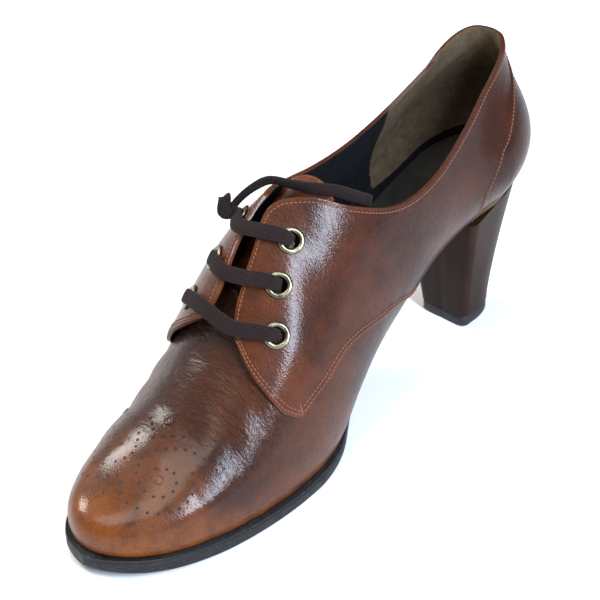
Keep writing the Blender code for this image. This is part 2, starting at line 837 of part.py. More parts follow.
def tongue_line(girth):
    """One line across the tongue under the facings, inner edge to outer edge."""
    rises = spread(TONGUE_RISE, 1.0, TONGUE_HALF_STEPS)
    depth = WALL + GAP + TONGUE_CLEAR
    halves = []
    for side in (INNER, OUTER):
        halves.append([last_point(side, girth, rise) - depth * last_normal(side, girth, rise) for rise in rises])
    center = (halves[0][-1] + halves[1][-1]) / 2
    return halves[0][:-1] + [center] + halves[1][-2::-1]


def tongue_top_line():
    """The rounded top edge of the tongue."""
    line = []
    for i in range(2 * TONGUE_HALF_STEPS + 1):
        across = 1.0 - i / TONGUE_HALF_STEPS
        round_off = TONGUE_TOP_ROUND * abs(across)**3
        x = TONGUE_TOP_X + TONGUE_TOP_HALF * across
        line.append(place(x, TONGUE_TOP_STATION - round_off, TONGUE_TOP_HEIGHT - TONGUE_TOP_CROWN * across**2))
    return line


def build_tongue(shoe, leather):
    """Leather tongue from below the vamp's edge to above the facings."""
    lines = [tongue_line(girth) for girth in spread(TONGUE_START, TONGUE_LAST_GIRTH, TONGUE_STEPS)]
    low, high = lines[-1], tongue_top_line()
    for share in spread(0.0, 1.0, TONGUE_TOP_STEPS)[1:]:
        lines.append([(1 - share) * a + share * b for a, b in zip(low, high)])
    tongue = new_object("tongue", grid_mesh("tongue", [(lines, False)]), shoe, leather)
    solidify(tongue, TONGUE_THICKNESS, -1.0)
    smooth_shade(tongue)
    return tongue


def bar_points(spots, crossings):
    """Points and normals of one lace bar from above its inner eyelet to above its outer one."""
    halves = []
    for side, spot, crossing in zip((INNER, OUTER), spots, crossings):
        half = []
        for share, lift in ((0.0, LACE_OVER_EYELET), (0.5, LACE_OVER_QUARTER), (1.0, LACE_OVER_EDGE)):
            a, b = ((1 - share) * start + share * end for start, end in zip(spot, crossing))
            normal = quarter_normal(side, a, b)
            half.append((quarter_point(side, a, b) + lift * normal, normal))
        halves.append(half)
    return halves[0] + halves[1][::-1]


def build_lace_bar(shoe, name, spots, crossings, cloth):
    """A flat lace bar across the throat."""
    known = bar_points(spots, crossings)
    ways = [0.0]
    for (p, _), (q, _) in zip(known, known[1:]):
        ways.append(ways[-1] + np.linalg.norm(q - p))
    table = [(way, *point, *normal) for way, (point, normal) in zip(ways, known)]
    read = lambda way: np.array([smooth(table, column, way) for column in range(1, 7)])
    rings = []
    for way in spread(0.0, ways[-1], LACE_STEPS):
        here = read(way)
        along = read(min(way + 1e-4, ways[-1]))[:3] - read(max(way - 1e-4, 0.0))[:3]
        along /= np.linalg.norm(along)
        normal = here[3:] - along * (here[3:] @ along)
        normal /= np.linalg.norm(normal)
        across = np.cross(along, normal)
        ring = []
        for angle in spread(0.0, 2 * math.pi, LACE_CORNERS)[:-1]:
            wide = LACE_WIDTH / 2 * math.copysign(abs(math.cos(angle))**LACE_SQUARENESS, math.cos(angle))
            thick = LACE_THICKNESS / 2 * math.copysign(abs(math.sin(angle))**LACE_SQUARENESS, math.sin(angle))
            ring.append(here[:3] + wide * across + thick * normal)
        rings.append(ring)
    bar = new_object(name, loft(name, rings), shoe, cloth)
    smooth_shade(bar, 60.0)
    return bar


def build_lace_tail(shoe, cloth):
    """The lace's free end: a loop past the outer top eyelet, then over the tongue into the shoe."""
    ways = [0.0]
    for p, q in zip(LACE_TAIL, LACE_TAIL[1:]):
        ways.append(ways[-1] + math.dist(p, q))
    table = [(way, *row) for way, row in zip(ways, LACE_TAIL)]
    count = round(ways[-1] / LACE_TAIL_STEP)
    curve = bpy.data.curves.new("lace_tail", "CURVE")
    curve.dimensions = "3D"
    curve.bevel_depth = LACE_TAIL_RADIUS
    curve.bevel_resolution = 2
    curve.use_fill_caps = True
    spline = curve.splines.new("POLY")
    spline.points.add(count)
    for point, way in zip(spline.points, spread(0.0, ways[-1], count)):
        x, station, height = (smooth(table, column, way) for column in (1, 2, 3))
        point.co = (*place(x, station, height), 1.0)
    return new_object("lace_tail", curve, shoe, cloth)


def main():
    for old in list(bpy.data.objects):
        bpy.data.objects.remove(old, do_unlink=True)
    shoe = bpy.data.collections.new("heeled_lace_up_shoe")
    cutters = bpy.data.collections.new("cutters")
    bpy.context.scene.collection.children.link(shoe)
    bpy.context.scene.collection.children.link(cutters)
    leather = make_material("chestnut_leather", (0.19, 0.055, 0.022), 0.32)
    rubber = make_material("black_rubber", (0.012, 0.012, 0.013), 0.6)
    cover = make_material("dark_heel_cover", (0.030, 0.014, 0.009), 0.35)
    lining = make_material("charcoal_lining", (0.035, 0.035, 0.033), 0.8)
    brass = make_material("antique_brass", (0.35, 0.30, 0.19), 0.35, 1.0)
    lace = make_material("brown_lace", (0.045, 0.028, 0.027), 0.85)
    build_upper(shoe, cutters, leather)
    build_outsole(shoe, rubber)
    build_heel(shoe, cover, rubber)
    build_insole(shoe, lining)
    build_tongue(shoe, leather)
    for side, spots in EYELETS.items():
        for number, (a, b) in enumerate(spots):
            name = "eyelet_%s_%d" % ("inner" if side == INNER else "outer", number + 1)
            build_eyelet(shoe, name, side, a, b, brass)
    for level, spots in zip(LACE_CROSSINGS, zip(EYELETS[INNER], EYELETS[OUTER])):
        build_lace_bar(shoe, "lace_bar_" + level, spots, LACE_CROSSINGS[level], lace)
    build_lace_tail(shoe, lace)


main()
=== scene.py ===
"""Looks of the heeled lace-up shoe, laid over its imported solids, in metres.

The toe points to -Y, the inner side of the right foot is +X and the shoe stands on Z = 0.
"station" is the distance from the toe tip along the shoe. "girth" follows the feather line from
the toe round to the back, and "rise" runs from 0 at the feather line to 1 at the top line.
"""

import math

import bmesh
import bpy
import numpy as np
from mathutils import Matrix, Vector


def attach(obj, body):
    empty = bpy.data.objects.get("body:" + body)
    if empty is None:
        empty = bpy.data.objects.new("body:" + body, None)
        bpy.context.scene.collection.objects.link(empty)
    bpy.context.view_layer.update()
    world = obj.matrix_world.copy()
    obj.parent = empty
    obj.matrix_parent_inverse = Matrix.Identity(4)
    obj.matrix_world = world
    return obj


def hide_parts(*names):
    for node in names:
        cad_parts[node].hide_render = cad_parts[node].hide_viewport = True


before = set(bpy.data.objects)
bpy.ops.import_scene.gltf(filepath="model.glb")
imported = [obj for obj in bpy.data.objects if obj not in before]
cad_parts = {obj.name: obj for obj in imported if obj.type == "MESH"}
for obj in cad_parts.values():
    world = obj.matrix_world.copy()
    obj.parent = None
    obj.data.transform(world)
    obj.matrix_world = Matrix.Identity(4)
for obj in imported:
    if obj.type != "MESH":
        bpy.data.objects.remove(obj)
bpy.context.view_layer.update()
SCENE = bpy.context.scene

# Sizes of the shoe. MIDDLE is taken off the last's own places (x, station, height) to reach the world.
# The last's sections turn round the toe over TOE_FAN of girth, and round the back over HEEL_FAN.
INNER = 1
OUTER = -1
SIDE_NAMES = {INNER: "inner", OUTER: "outer"}
MIDDLE = np.array((-0.00682, 0.1193, 0.0))
BALL_STATION = {INNER: 0.076, OUTER: 0.103}
TOE_ROUNDNESS = {INNER: 2.15, OUTER: 1.66}
TOE_OFFSET = -0.0012
SEAT_START = 0.208
SEAT_END = 0.2370
HEEL_FAN = 0.030
TOE_FAN = 0.034
LAST_END = SEAT_START + HEEL_FAN
COLLAR_END = 0.2290
COLLAR_HEIGHT = 0.1205
# How fast the top line climbs to the back, and how steeply the back leaves it, in degrees
BACK_TAB = 1.30
BACK_DROP = 88.0
# Girth where the two halves of the vamp part, and rise where quarter and counter end above the sole
THROAT = 0.082
QUARTER_FOOT = 0.012
# How far quarter and counter stand out from the last, and how far the counter goes under the quarter
QUARTER_PROUD = 0.0010
COUNTER_PROUD = 0.0004
COUNTER_TUCK = 0.004

# Half widths of the feather line behind the ball: station, inner, outer
WAIST = (
    (0.076, 0.0330, 0.0456), (0.090, 0.0320, 0.0470), (0.103, 0.0284, 0.0476),
    (0.116, 0.0218, 0.0450), (0.130, 0.0155, 0.0395), (0.150, 0.0125, 0.0320),
    (0.170, 0.0130, 0.0268), (0.190, 0.0165, 0.0235), (0.208, 0.0210, 0.0220),
)
# Height of the feather line: station, height
FEATHER = (
    (0.000, 0.0100), (0.015, 0.0078), (0.040, 0.0063), (0.086, 0.0063), (0.105, 0.0082), (0.125, 0.0152),
    (0.150, 0.0290), (0.170, 0.0425), (0.190, 0.0540), (0.208, 0.0610), (0.237, 0.0670),
)
# Top line of the last: station, inner x, outer x, inner height, outer height, inner drop, outer drop
TOP_LINE = (
    (0.034, 0.0000, 0.0000, 0.0315, 0.0315, 0, 0),
    (0.050, 0.0010, 0.0010, 0.0412, 0.0412, 4, 4),
    (0.065, 0.0018, 0.0018, 0.0545, 0.0545, 9, 9),
    (0.080, 0.0010, 0.0010, 0.0730, 0.0730, 17, 17),
    (0.092, -0.0010, -0.0010, 0.0889, 0.0889, 26, 26),
    (0.103, -0.0024, -0.0024, 0.1012, 0.1012, 34, 34),
    (0.112, 0.0064, -0.0076, 0.1036, 0.1014, 46, 46),
    (0.125, 0.0178, -0.0135, 0.0978, 0.0966, 60, 60),
    (0.142, 0.0226, -0.0170, 0.0912, 0.0922, 70, 70),
    (0.165, 0.0226, -0.0188, 0.0915, 0.0912, 74, 74),
    (0.188, 0.0196, -0.0176, 0.1008, 0.0972, 76, 76),
    (0.208, 0.0148, -0.0137, 0.1110, 0.1082, 76, 76),
)
INNER_HEIGHT = 3
# Fullness of the sides: station, inner lean, outer lean, inner low, outer low, inner high, outer high
FULLNESS = (
    (0.000, 8, 8, 0.50, 0.50, 0.60, 0.60),
    (0.020, 10, 6, 0.48, 0.42, 0.58, 0.52),
    (0.045, 13, 4, 0.42, 0.34, 0.52, 0.37),
    (0.070, 14, 4, 0.36, 0.28, 0.44, 0.29),
    (0.095, 18, 2, 0.34, 0.25, 0.38, 0.28),
    (0.115, 28, 4, 0.36, 0.26, 0.34, 0.28),
    (0.130, 36, 10, 0.38, 0.30, 0.32, 0.28),
    (0.150, 40, 20, 0.42, 0.34, 0.34, 0.32),
    (0.170, 40, 26, 0.44, 0.38, 0.36, 0.34),
    (0.190, 42, 35, 0.48, 0.46, 0.36, 0.36),
    (0.208, 42, 36, 0.50, 0.48, 0.36, 0.36),
    (0.237, 26, 26, 0.46, 0.46, 0.36, 0.36),
)
# Seam from the stitched corner of the facing to the counter seam's foot: girth, rise
SEAM = {
    INNER: ((0.0775, 0.410), (0.0950, 0.413), (0.1150, 0.425), (0.1380, 0.408), (0.1550, 0.250),
            (0.1680, 0.100), (0.1760, QUARTER_FOOT), (0.1850, QUARTER_FOOT), (0.1945, QUARTER_FOOT)),
    OUTER: ((0.0840, 0.330), (0.1000, 0.345), (0.1200, 0.350), (0.1400, 0.310), (0.1550, 0.210),
            (0.1680, 0.090), (0.1760, QUARTER_FOOT), (0.1850, QUARTER_FOOT), (0.1945, QUARTER_FOOT)),
}
# Free front edge of the facing: girth, rise
FACING = {
    INNER: ((0.0775, 0.410), (0.0722, 0.520), (0.0703, 0.650), (0.0706, 0.800), (0.0735, 0.925)),
    OUTER: ((0.0840, 0.330), (0.0778, 0.450), (0.0748, 0.600), (0.0738, 0.750), (0.0752, 0.900)),
}
# Upper edge of the quarter, beside the ridge and along the collar: girth, rise
COLLAR = {
    INNER: ((0.0735, 0.925), (0.0785, 0.970), (0.0870, 0.984), (0.0960, 0.988), (0.1020, 0.990),
            (0.1050, 0.995), (0.1075, 1.000), (0.1120, 1.000), (0.1400, 1.000), (0.1800, 1.000),
            (0.2330, 1.000)),
    OUTER: ((0.0752, 0.900), (0.0800, 0.940), (0.0870, 0.950), (0.0960, 0.952), (0.1020, 0.960),
            (0.1050, 0.978), (0.1075, 1.000), (0.1120, 1.000), (0.1400, 1.000), (0.1800, 1.000),
            (0.2330, 1.000)),
}
# Edge of the quarter over the counter, feather line to collar: girth, rise
COUNTER_SEAM = (
    (0.1945, QUARTER_FOOT), (0.1955, 0.110), (0.1975, 0.325), (0.2040, 0.450), (0.2095, 0.560),
    (0.2180, 0.700), (0.2270, 0.800), (0.2310, 0.880), (0.2330, 1.000),
)
# Grid of the quarter's face, and how often it is evened out
QUARTER_COLUMNS = 161
QUARTER_ROWS = 73
EVENING_PASSES = 70
# Free flap of the facing: how far it stands up, how far it reaches, and its lift from low to high
FLAP_LIFT = {INNER: 0.0017, OUTER: 0.0054}
FLAP_REACH = 0.32
FLAP_PROFILE = ((0.00, 0.00), (0.20, 0.12), (0.50, 0.70), (0.75, 1.00), (1.00, 1.00))

# Eyelets: way into the facing and way along it, number 1 at the toe end
EYELETS = {
    INNER: ((0.087, 0.61), (0.139, 0.74), (0.203, 0.79)),
    OUTER: ((0.060, 0.64), (0.115, 0.79), (0.180, 0.85)),
}
# Where each lace bar crosses the edges of the inner and the outer facing
CROSSINGS = {
    "low": ((0.022, 0.96), (0.022, 0.95)),
    "middle": ((0.085, 1.00), (0.075, 1.00)),
    "top": ((0.150, 1.00), (0.140, 1.00)),
}
# Free end of the lace: x, station, height
LACE_END = (
    (-0.0200, 0.1015, 0.0935), (-0.0185, 0.1050, 0.0968), (-0.0145, 0.1086, 0.1014),
    (-0.0085, 0.1112, 0.1054), (-0.0010, 0.1140, 0.1052), (0.0060, 0.1175, 0.1046),
    (0.0110, 0.1230, 0.1030), (0.0150, 0.1300, 0.0985), (0.0165, 0.1370, 0.0935),
)
LACE_WIDTH = 0.0058
LACE_THICKNESS = 0.0014
LACE_END_WIDTH = 0.0046
LACE_END_THICKNESS = 0.0016
LACE_LOOP_WIDTH = (0.0054, 0.0048)
LACE_LOOP_THICKNESS = 0.0018
# A bar at its eyelet: lift out of the eyelet, shift toward the crossing, width, thickness
LACE_ENTRY = (
    (-0.0022, 0.0000, 0.0042, 0.0020), (0.0006, 0.0004, 0.0046, 0.0020), (0.0024, 0.0022, 0.0054, 0.0016),
)
# A bar on the facing: share of the way to the crossing, lift
LACE_REST = ((0.5, 0.0026), (1.0, 0.0021))
LACE_CORNERS = 20
LACE_STEP = 0.0008
LACE_END_STEP = 0.0012
LACE_LOOP_STEP = 0.0007

# Leather: thickness of each part, and the radius of its finished edges
VAMP_WALL = 0.0012
QUARTER_WALL = 0.0018
COUNTER_WALL = 0.0014
TONGUE_WALL = 0.0015
QUARTER_ROUNDING = 0.00055
LEATHER_ROUNDING = 0.0005
# Rounded top of the tongue: half width, station, height, and how far its sides fall back and down
TONGUE_TOP = (0.0105, 0.1245, 0.1040, 0.0025, 0.0040)
TONGUE_TOP_X = 0.0012
# Room between the facings and the tongue
TONGUE_GAP = 0.0007

# Eyelets: radius and half width of the flange, its crown, bore, barrel, depth, and how high it sits
EYELET_FLANGE = 0.0039
EYELET_FLANGE_HALF = 0.00105
EYELET_CROWN = 0.0008
EYELET_BORE = 0.0029
EYELET_BARREL = 0.0033
EYELET_DEPTH = 0.0016
EYELET_SEAT = 0.00025
PUNCH_RADIUS = 0.0034
PUNCH_DEPTH = 0.0040

# Stitches, and how far each row lies inside its edge
STITCH_PITCH = 0.0016
STITCH_LENGTH = 0.00115
THREAD_RADIUS = 0.00021
THREAD_LIFT = 0.0001
TACK_PITCH = 0.0007
TACK_LENGTH = 0.0011
FACING_ROWS = (0.0014, 0.0030)
SEAM_ROWS = (0.0013, 0.0030)
COLLAR_ROW = 0.0018
COUNTER_ROW = 0.0014

# Creases pressed into the vamp: x and station of both ends, depth, half width, all in millimetres
CREASES = (
    (-36, 55, 9, 46, 0.95, 5.4),
    (-40, 68, -12, 61, 0.40, 2.6),
    (9, 58, 29, 51, 0.26, 3.6),
    (12, 68, 31, 62, 0.18, 3.0),
    (-10, 68, 9, 67, 0.25, 2.4),
    (-45, 79, -24, 73, 0.30, 2.4),
)

# Punched pattern of the toe on a template laid flat, in millimetres: x to the inner side and y to the heel,
# both from the point where the sections of the toe meet
TEMPLATE_HALF = 75.0
# Rows of small holes: how many, then guide points along the row
TOE_ROWS = (
    (7, (23.0, 9.5), (12.0, 7.5), (4.5, 4.0), (-2.5, 0.0)),
    (7, (-36.5, 12.5), (-25.0, 9.0), (-15.0, 4.5), (-10.5, 0.0)),
    (12, (-9.5, -3.0), (-15.0, -9.0), (-28.0, -15.0), (-41.0, -10.0), (-40.5, 0.0), (-30.0, 2.5),
     (-21.0, -1.5)),
    (12, (8.5, -3.0), (16.5, -0.5), (25.5, -5.0), (23.5, -12.5), (12.0, -13.5), (0.0, -9.0), (-3.0, -2.5)),
    (15, (3.5, -22.0), (-8.5, -15.0), (-20.5, -21.5), (-36.5, -24.5), (-51.0, -16.5), (-59.0, -2.5),
     (-51.5, 4.0), (-40.0, 6.5)),
    (10, (13.0, -24.5), (30.0, -22.0), (38.5, -12.5), (36.0, -2.0), (25.0, 3.5)),
    (4, (6.0, 10.5), (-5.5, 5.0)),
    (3, (-9.5, 7.5), (-16.5, 11.0)),
)
TOE_HOLE = 0.0006
HOLE_LIFT = 0.00003
RING_LIFT = 0.00002
# Larger pressed rings: x, y, radius
TOE_RINGS = (
    (14.5, -6.0, 1.5), (-29.0, -5.0, 1.6), (-9.5, -29.0, 1.9), (-47.5, 16.5, 1.6), (33.0, 11.0, 1.6),
    (-6.0, 12.5, 1.8),
)

# Sole: station, thickness, inner and outer edge beyond the feather line
SOLE_EDGE = (
    (0.000, 0.0058, 0.0022, 0.0022), (0.015, 0.0059, 0.0022, 0.0010), (0.040, 0.0060, 0.0022, 0.0008),
    (0.086, 0.0060, 0.0022, 0.0014), (0.103, 0.0056, 0.0016, 0.0014), (0.125, 0.0044, -0.0006, 0.0004),
    (0.150, 0.0036, -0.0014, -0.0008), (0.190, 0.0034, -0.0012, -0.0010), (0.208, 0.0034, -0.0006, -0.0006),
    (0.237, 0.0034, -0.0006, -0.0006),
)
# Rounding of the sole's lower edge, and steps of its upper one: inwards, down
SOLE_CUT = 0.0010
SOLE_RIM = ((0.0002, 0.0003), (0.0007, 0.0))
# Groove in the side of the sole: share of its thickness, depth
SOLE_GROOVE = ((0.72, 0.0), (0.76, 0.00035), (0.81, 0.00005))
INSOLE_INSET = 0.0005
INSOLE_LIFT = 0.0002
INSOLE_THICKNESS = 0.0019
INSOLE_HOLLOW = 0.0010
INSOLE_CUT = 0.0005

# Heel: stations of its breast and back, half widths, and how far its foot lies to the inner side
HEEL_TIP = 0.0050
BREAST_BOTTOM = 0.1960
BREAST_TOP = 0.1952
HEEL_BACK_BOTTOM = 0.2200
HEEL_BACK_TOP = 0.2355
HEEL_HALF_BOTTOM = 0.0120
HEEL_HALF_TOP = 0.0200
HEEL_MIDDLE_BOTTOM = 0.0028
HEEL_CORNER = 0.0035
HEEL_FLARE = 1.25
HEEL_SEAM = 0.00035
HEEL_SEAM_HALF = 0.0006
# Heel tip: height of each ring, inset
TIP_RINGS = ((0.0, 0.0009), (0.0005, 0.0004), (0.0045, 0.0004), (HEEL_TIP, 0.0008))
JOINT_GAP = 0.0003

# Camera: the photograph's angle to the shoe
CAMERA_PLACE = (0.3917, -0.4034, 0.4552)
CAMERA_FORWARD = (-0.5626, 0.5827, -0.5864)
CAMERA_RIGHT = (0.7755, 0.6314, 0.0)
CAMERA_LENS = 109.5
CAMERA_SENSOR = 36.0

# Lights: name, place, target, width and height, watts, colour
LIGHTS = (
    ("window", (0.95, -0.15, 0.75), (0.0, 0.0, 0.05), (0.26, 0.8), 30, (0.72, 0.83, 1.0)),
    ("ceiling", (-0.15, -0.35, 1.35), (0.0, -0.03, 0.03), (0.8, 0.8), 13, (1.0, 0.97, 0.93)),
    ("lamp", (-0.88, -0.16, 0.62), (0.0, -0.08, 0.03), (0.30, 0.30), 8, (1.0, 0.97, 0.92)),
)
ROOM_LIGHT = 0.36
FLOOR_HALF = 4
FLOOR_HEIGHT = -0.0004
FLOOR_COLOR = (0.86, 0.86, 0.86)


def link_object(name, data):
    piece = bpy.data.objects.new(name, data)
    SCENE.collection.objects.link(piece)
    return piece


# Camera, set first
def make_camera():
    data = bpy.data.cameras.new("camera")
    data.sensor_width = CAMERA_SENSOR
    data.lens = CAMERA_LENS
    data.clip_start, data.clip_end = 0.05, 20.0
    camera = link_object("camera", data)
    camera.location = CAMERA_PLACE
    camera.rotation_mode = "QUATERNION"
    forward = Vector(CAMERA_FORWARD).normalized()
    right = Vector(CAMERA_RIGHT)
    right = (right - right.dot(forward) * forward).normalized()
    camera.rotation_quaternion = Matrix((right, right.cross(forward), -forward)).transposed().to_quaternion()
    SCENE.camera = camera


make_camera()


# Curves and tables
def read(rows, column, x):
    """One column of a table on a smooth curve, at one place or many."""
    rows = np.asarray(rows, float)
    xs, ys = rows[:, 0], rows[:, column]
    steps = np.diff(xs)
    slopes = np.diff(ys) / steps
    inside = (slopes[:-1] * steps[1:] + slopes[1:] * steps[:-1]) / (steps[:-1] + steps[1:])
    tangents = np.concatenate((slopes[:1], inside, slopes[-1:]))
    x = np.clip(np.asarray(x, float), xs[0], xs[-1])
    i = np.clip(np.searchsorted(xs, x, side="right") - 1, 0, len(steps) - 1)
    t = (x - xs[i]) / steps[i]
    ends = (2 * t**3 - 3 * t**2 + 1) * ys[i] + (3 * t**2 - 2 * t**3) * ys[i + 1]
    pulls = (t**3 - 2 * t**2 + t) * tangents[i] + (t**3 - t**2) * tangents[i + 1]
    return ends + steps[i] * pulls


def unit(vectors):
    return vectors / np.maximum(np.linalg.norm(vectors, axis=-1, keepdims=True), 1e-12)


def ways_along(line):
    """Distance along a line at each of its points."""
    return np.concatenate(([0.0], np.cumsum(np.linalg.norm(np.diff(line, axis=0), axis=1))))


def column_of(side):
    return 1 if side == INNER else 2


def half_width(side, station, grow=0.0):
    """Half width of the last's bottom at a station, grown by an edge."""
    column = column_of(side)
    if station < BALL_STATION[side]:
        share = max(1.0 - (station + grow) / BALL_STATION[side], 0.0)
        widest = float(read(WAIST, column, BALL_STATION[side])) + grow
        return widest * math.sqrt(max(1.0 - share ** TOE_ROUNDNESS[side], 0.0))
    if station <= SEAT_START:
        return float(read(WAIST, column, station)) + grow
    share = min((station - SEAT_START) / (SEAT_END + grow - SEAT_START), 1.0)
    return (WAIST[-1][column] + grow) * math.sqrt(1.0 - share**2)


def toe_middle(station):
    return TOE_OFFSET * max(1.0 - station / BALL_STATION[INNER], 0.0) ** 2


def fan_angle(girth):
    if girth < TOE_FAN:
        return girth / TOE_FAN * math.pi / 2
    if girth > SEAT_START:
        return min((girth - SEAT_START) / HEEL_FAN, 1.0) * math.pi / 2
    return None


def foot_station(girth):
    angle = fan_angle(girth)
    if angle is None:
        return girth
    if girth < TOE_FAN:
        return TOE_FAN * (1.0 - math.cos(angle))
    return SEAT_START + (SEAT_END - SEAT_START) * math.sin(angle)


def foot_point(side, girth):
    station = foot_station(girth)
    x = toe_middle(station) + side * half_width(side, station)
    return np.array((x, station, float(read(FEATHER, 1, station)))) - MIDDLE


def outward(side, girth):
    """Level direction square to the feather line."""
    if girth < 1e-6:
        return np.array((0.0, -1.0, 0.0))
    if girth > LAST_END - 1e-6:
        return np.array((0.0, 1.0, 0.0))
    step = 1e-5
    along = foot_point(side, min(girth + step, LAST_END)) - foot_point(side, max(girth - step, 0.0))
    return unit(side * np.array((along[1], -along[0], 0.0)))


def top_point(side, girth):
    """Top of a section, and how steeply the section leaves it."""
    column = column_of(side)
    if girth <= SEAT_START:
        station = max(girth, TOE_FAN)
        x, height, drop = (float(read(TOP_LINE, k, station)) for k in (column, 2 + column, 4 + column))
        return np.array((x, station, height)) - MIDDLE, drop
    corner = TOP_LINE[-1]
    angle = fan_angle(girth)
    station = SEAT_START + (COLLAR_END - SEAT_START) * math.sin(angle)
    climb = math.sin(min(BACK_TAB * angle, math.pi / 2))
    height = corner[2 + column] + (COLLAR_HEIGHT - corner[2 + column]) * climb
    drop = corner[4 + column] + (BACK_DROP - corner[4 + column]) * math.sin(angle)
    return np.array((corner[column] * math.cos(angle), station, height)) - MIDDLE, drop


def section(side, girth):
    """The four guide points of one section of the last."""
    column = column_of(side)
    station = foot_station(girth)
    foot = foot_point(side, girth)
    top, drop = top_point(side, girth)
    normal = outward(side, girth)
    span = np.linalg.norm(top - foot)
    up = np.array((0.0, 0.0, 1.0))
    lean = math.radians(float(read(FULLNESS, column, station)))
    low_pull, high_pull = (float(read(FULLNESS, k + column, station)) for k in (2, 4))
    low = foot + span * low_pull * (math.sin(lean) * normal + math.cos(lean) * up)
    if girth < TOE_FAN:
        away = unit((foot - top) * (1, 1, 0))
        ridge = (float(read(TOP_LINE, INNER_HEIGHT, TOE_FAN + 0.002)) - TOP_LINE[0][INNER_HEIGHT]) / 0.002
        drop = math.atan(ridge * max(-away[1], 0.0))
    else:
        away = normal if girth > SEAT_START else np.array((float(side), 0.0, 0.0))
        drop = math.radians(drop)
    high = top + span * high_pull * (math.cos(drop) * away - math.sin(drop) * up)
    return foot, low, high, top


SECTION_LENGTH = 0.075
SECTION_STEP = 0.0005
SECTION_COUNT = round(LAST_END / SECTION_STEP)
SECTIONS = {
    side: np.array([section(side, LAST_END * i / SECTION_COUNT) for i in range(SECTION_COUNT + 1)])
    for side in (INNER, OUTER)
}


def last(side, girth, rise):
    """Points on the last for arrays of girths and rises."""
    place = np.clip(np.asarray(girth, float) / LAST_END, 0, 1) * SECTION_COUNT
    i = np.minimum(place.astype(int), SECTION_COUNT - 1)
    t = (place - i)[..., None, None]
    foot, low, high, top = np.moveaxis((1 - t) * SECTIONS[side][i] + t * SECTIONS[side][i + 1], -2, 0)
    rise = np.clip(np.asarray(rise, float), 0, 1)[..., None]
    fall = 1 - rise
    return fall**3 * foot + 3 * fall**2 * rise * low + 3 * fall * rise**2 * high + rise**3 * top


def last_normal(side, girth, rise):
    """Outward normals of the last."""
    g, r = np.asarray(girth, float), np.minimum(np.asarray(rise, float), 0.985)
    along = last(side, np.minimum(g + 0.001, LAST_END), r) - last(side, np.maximum(g - 0.001, 0), r)
    upward = last(side, g, np.minimum(r + 0.004, 1)) - last(side, g, np.maximum(r - 0.004, 0))
    return unit(side * np.cross(along, upward))


def path(rows):
    """A curve through rows of girth and rise, read by the share of its length."""
    rows = np.array(rows, float)
    legs = np.hypot(np.diff(rows[:, 0]), np.diff(rows[:, 1]) * SECTION_LENGTH)
    ways = np.concatenate(([0.0], np.cumsum(legs))) / legs.sum()
    table = np.column_stack((ways, rows))
    return lambda share: np.stack((read(table, 1, share), read(table, 2, share)), -1)


def patch(foot, top, front, back):
    """Fill four curves that meet at their ends with a sheet of girths and rises."""
    def sheet(a, b):
        a, b = np.broadcast_arrays(np.asarray(a, float), np.asarray(b, float))
        p, q = a[..., None], b[..., None]
        edges = (1 - q) * foot(a) + q * top(a) + (1 - p) * front(b) + p * back(b)
        corners = (1 - p) * ((1 - q) * foot(0.0) + q * top(0.0)) + p * ((1 - q) * foot(1.0) + q * top(1.0))
        return edges - corners
    return sheet


QUARTER_SHEET = {
    side: patch(path(SEAM[side]), path(COLLAR[side]), path(FACING[side]), path(COUNTER_SEAM))
    for side in (INNER, OUTER)
}


def quarter_grid(side):
    """Points of the quarter's outer face with its free flap, evened out as stretched leather is."""
    a, b = np.meshgrid(np.linspace(0, 1, QUARTER_COLUMNS), np.linspace(0, 1, QUARTER_ROWS), indexing="ij")
    girth, rise = np.moveaxis(QUARTER_SHEET[side](a, b), -1, 0)
    share = np.clip(1 - a / FLAP_REACH, 0, 1)
    lift = QUARTER_PROUD + FLAP_LIFT[side] * read(FLAP_PROFILE, 1, b) * share**2 * (3 - 2 * share)
    points = last(side, girth, rise) + lift[..., None] * last_normal(side, girth, rise)
    for _ in range(EVENING_PASSES):
        around = points[:-2, 1:-1] + points[2:, 1:-1] + points[1:-1, :-2] + points[1:-1, 2:]
        points[1:-1, 1:-1] += 0.5 * (0.25 * around - points[1:-1, 1:-1])
    return points


QUARTER_GRID = {side: quarter_grid(side) for side in (INNER, OUTER)}


def quarter(side, a, b):
    """Points of the quarter's outer face."""
    a, b = np.broadcast_arrays(np.asarray(a, float), np.asarray(b, float))
    p, q = np.clip(a, 0, 1) * (QUARTER_COLUMNS - 1), np.clip(b, 0, 1) * (QUARTER_ROWS - 1)
    i, j = np.minimum(p.astype(int), QUARTER_COLUMNS - 2), np.minimum(q.astype(int), QUARTER_ROWS - 2)
    s, t = (p - i)[..., None], (q - j)[..., None]
    grid = QUARTER_GRID[side]
    near = (1 - t) * grid[i, j] + t * grid[i, j + 1]
    far = (1 - t) * grid[i + 1, j] + t * grid[i + 1, j + 1]
    return (1 - s) * near + s * far


def quarter_normal(side, a, b):
    step = 0.01
    a, b = np.asarray(a, float), np.asarray(b, float)
    along = quarter(side, np.minimum(a + step, 1), b) - quarter(side, np.maximum(a - step, 0), b)
    upward = quarter(side, a, np.minimum(b + step, 1)) - quarter(side, a, np.maximum(b - step, 0))
    return unit(side * np.cross(along, upward))


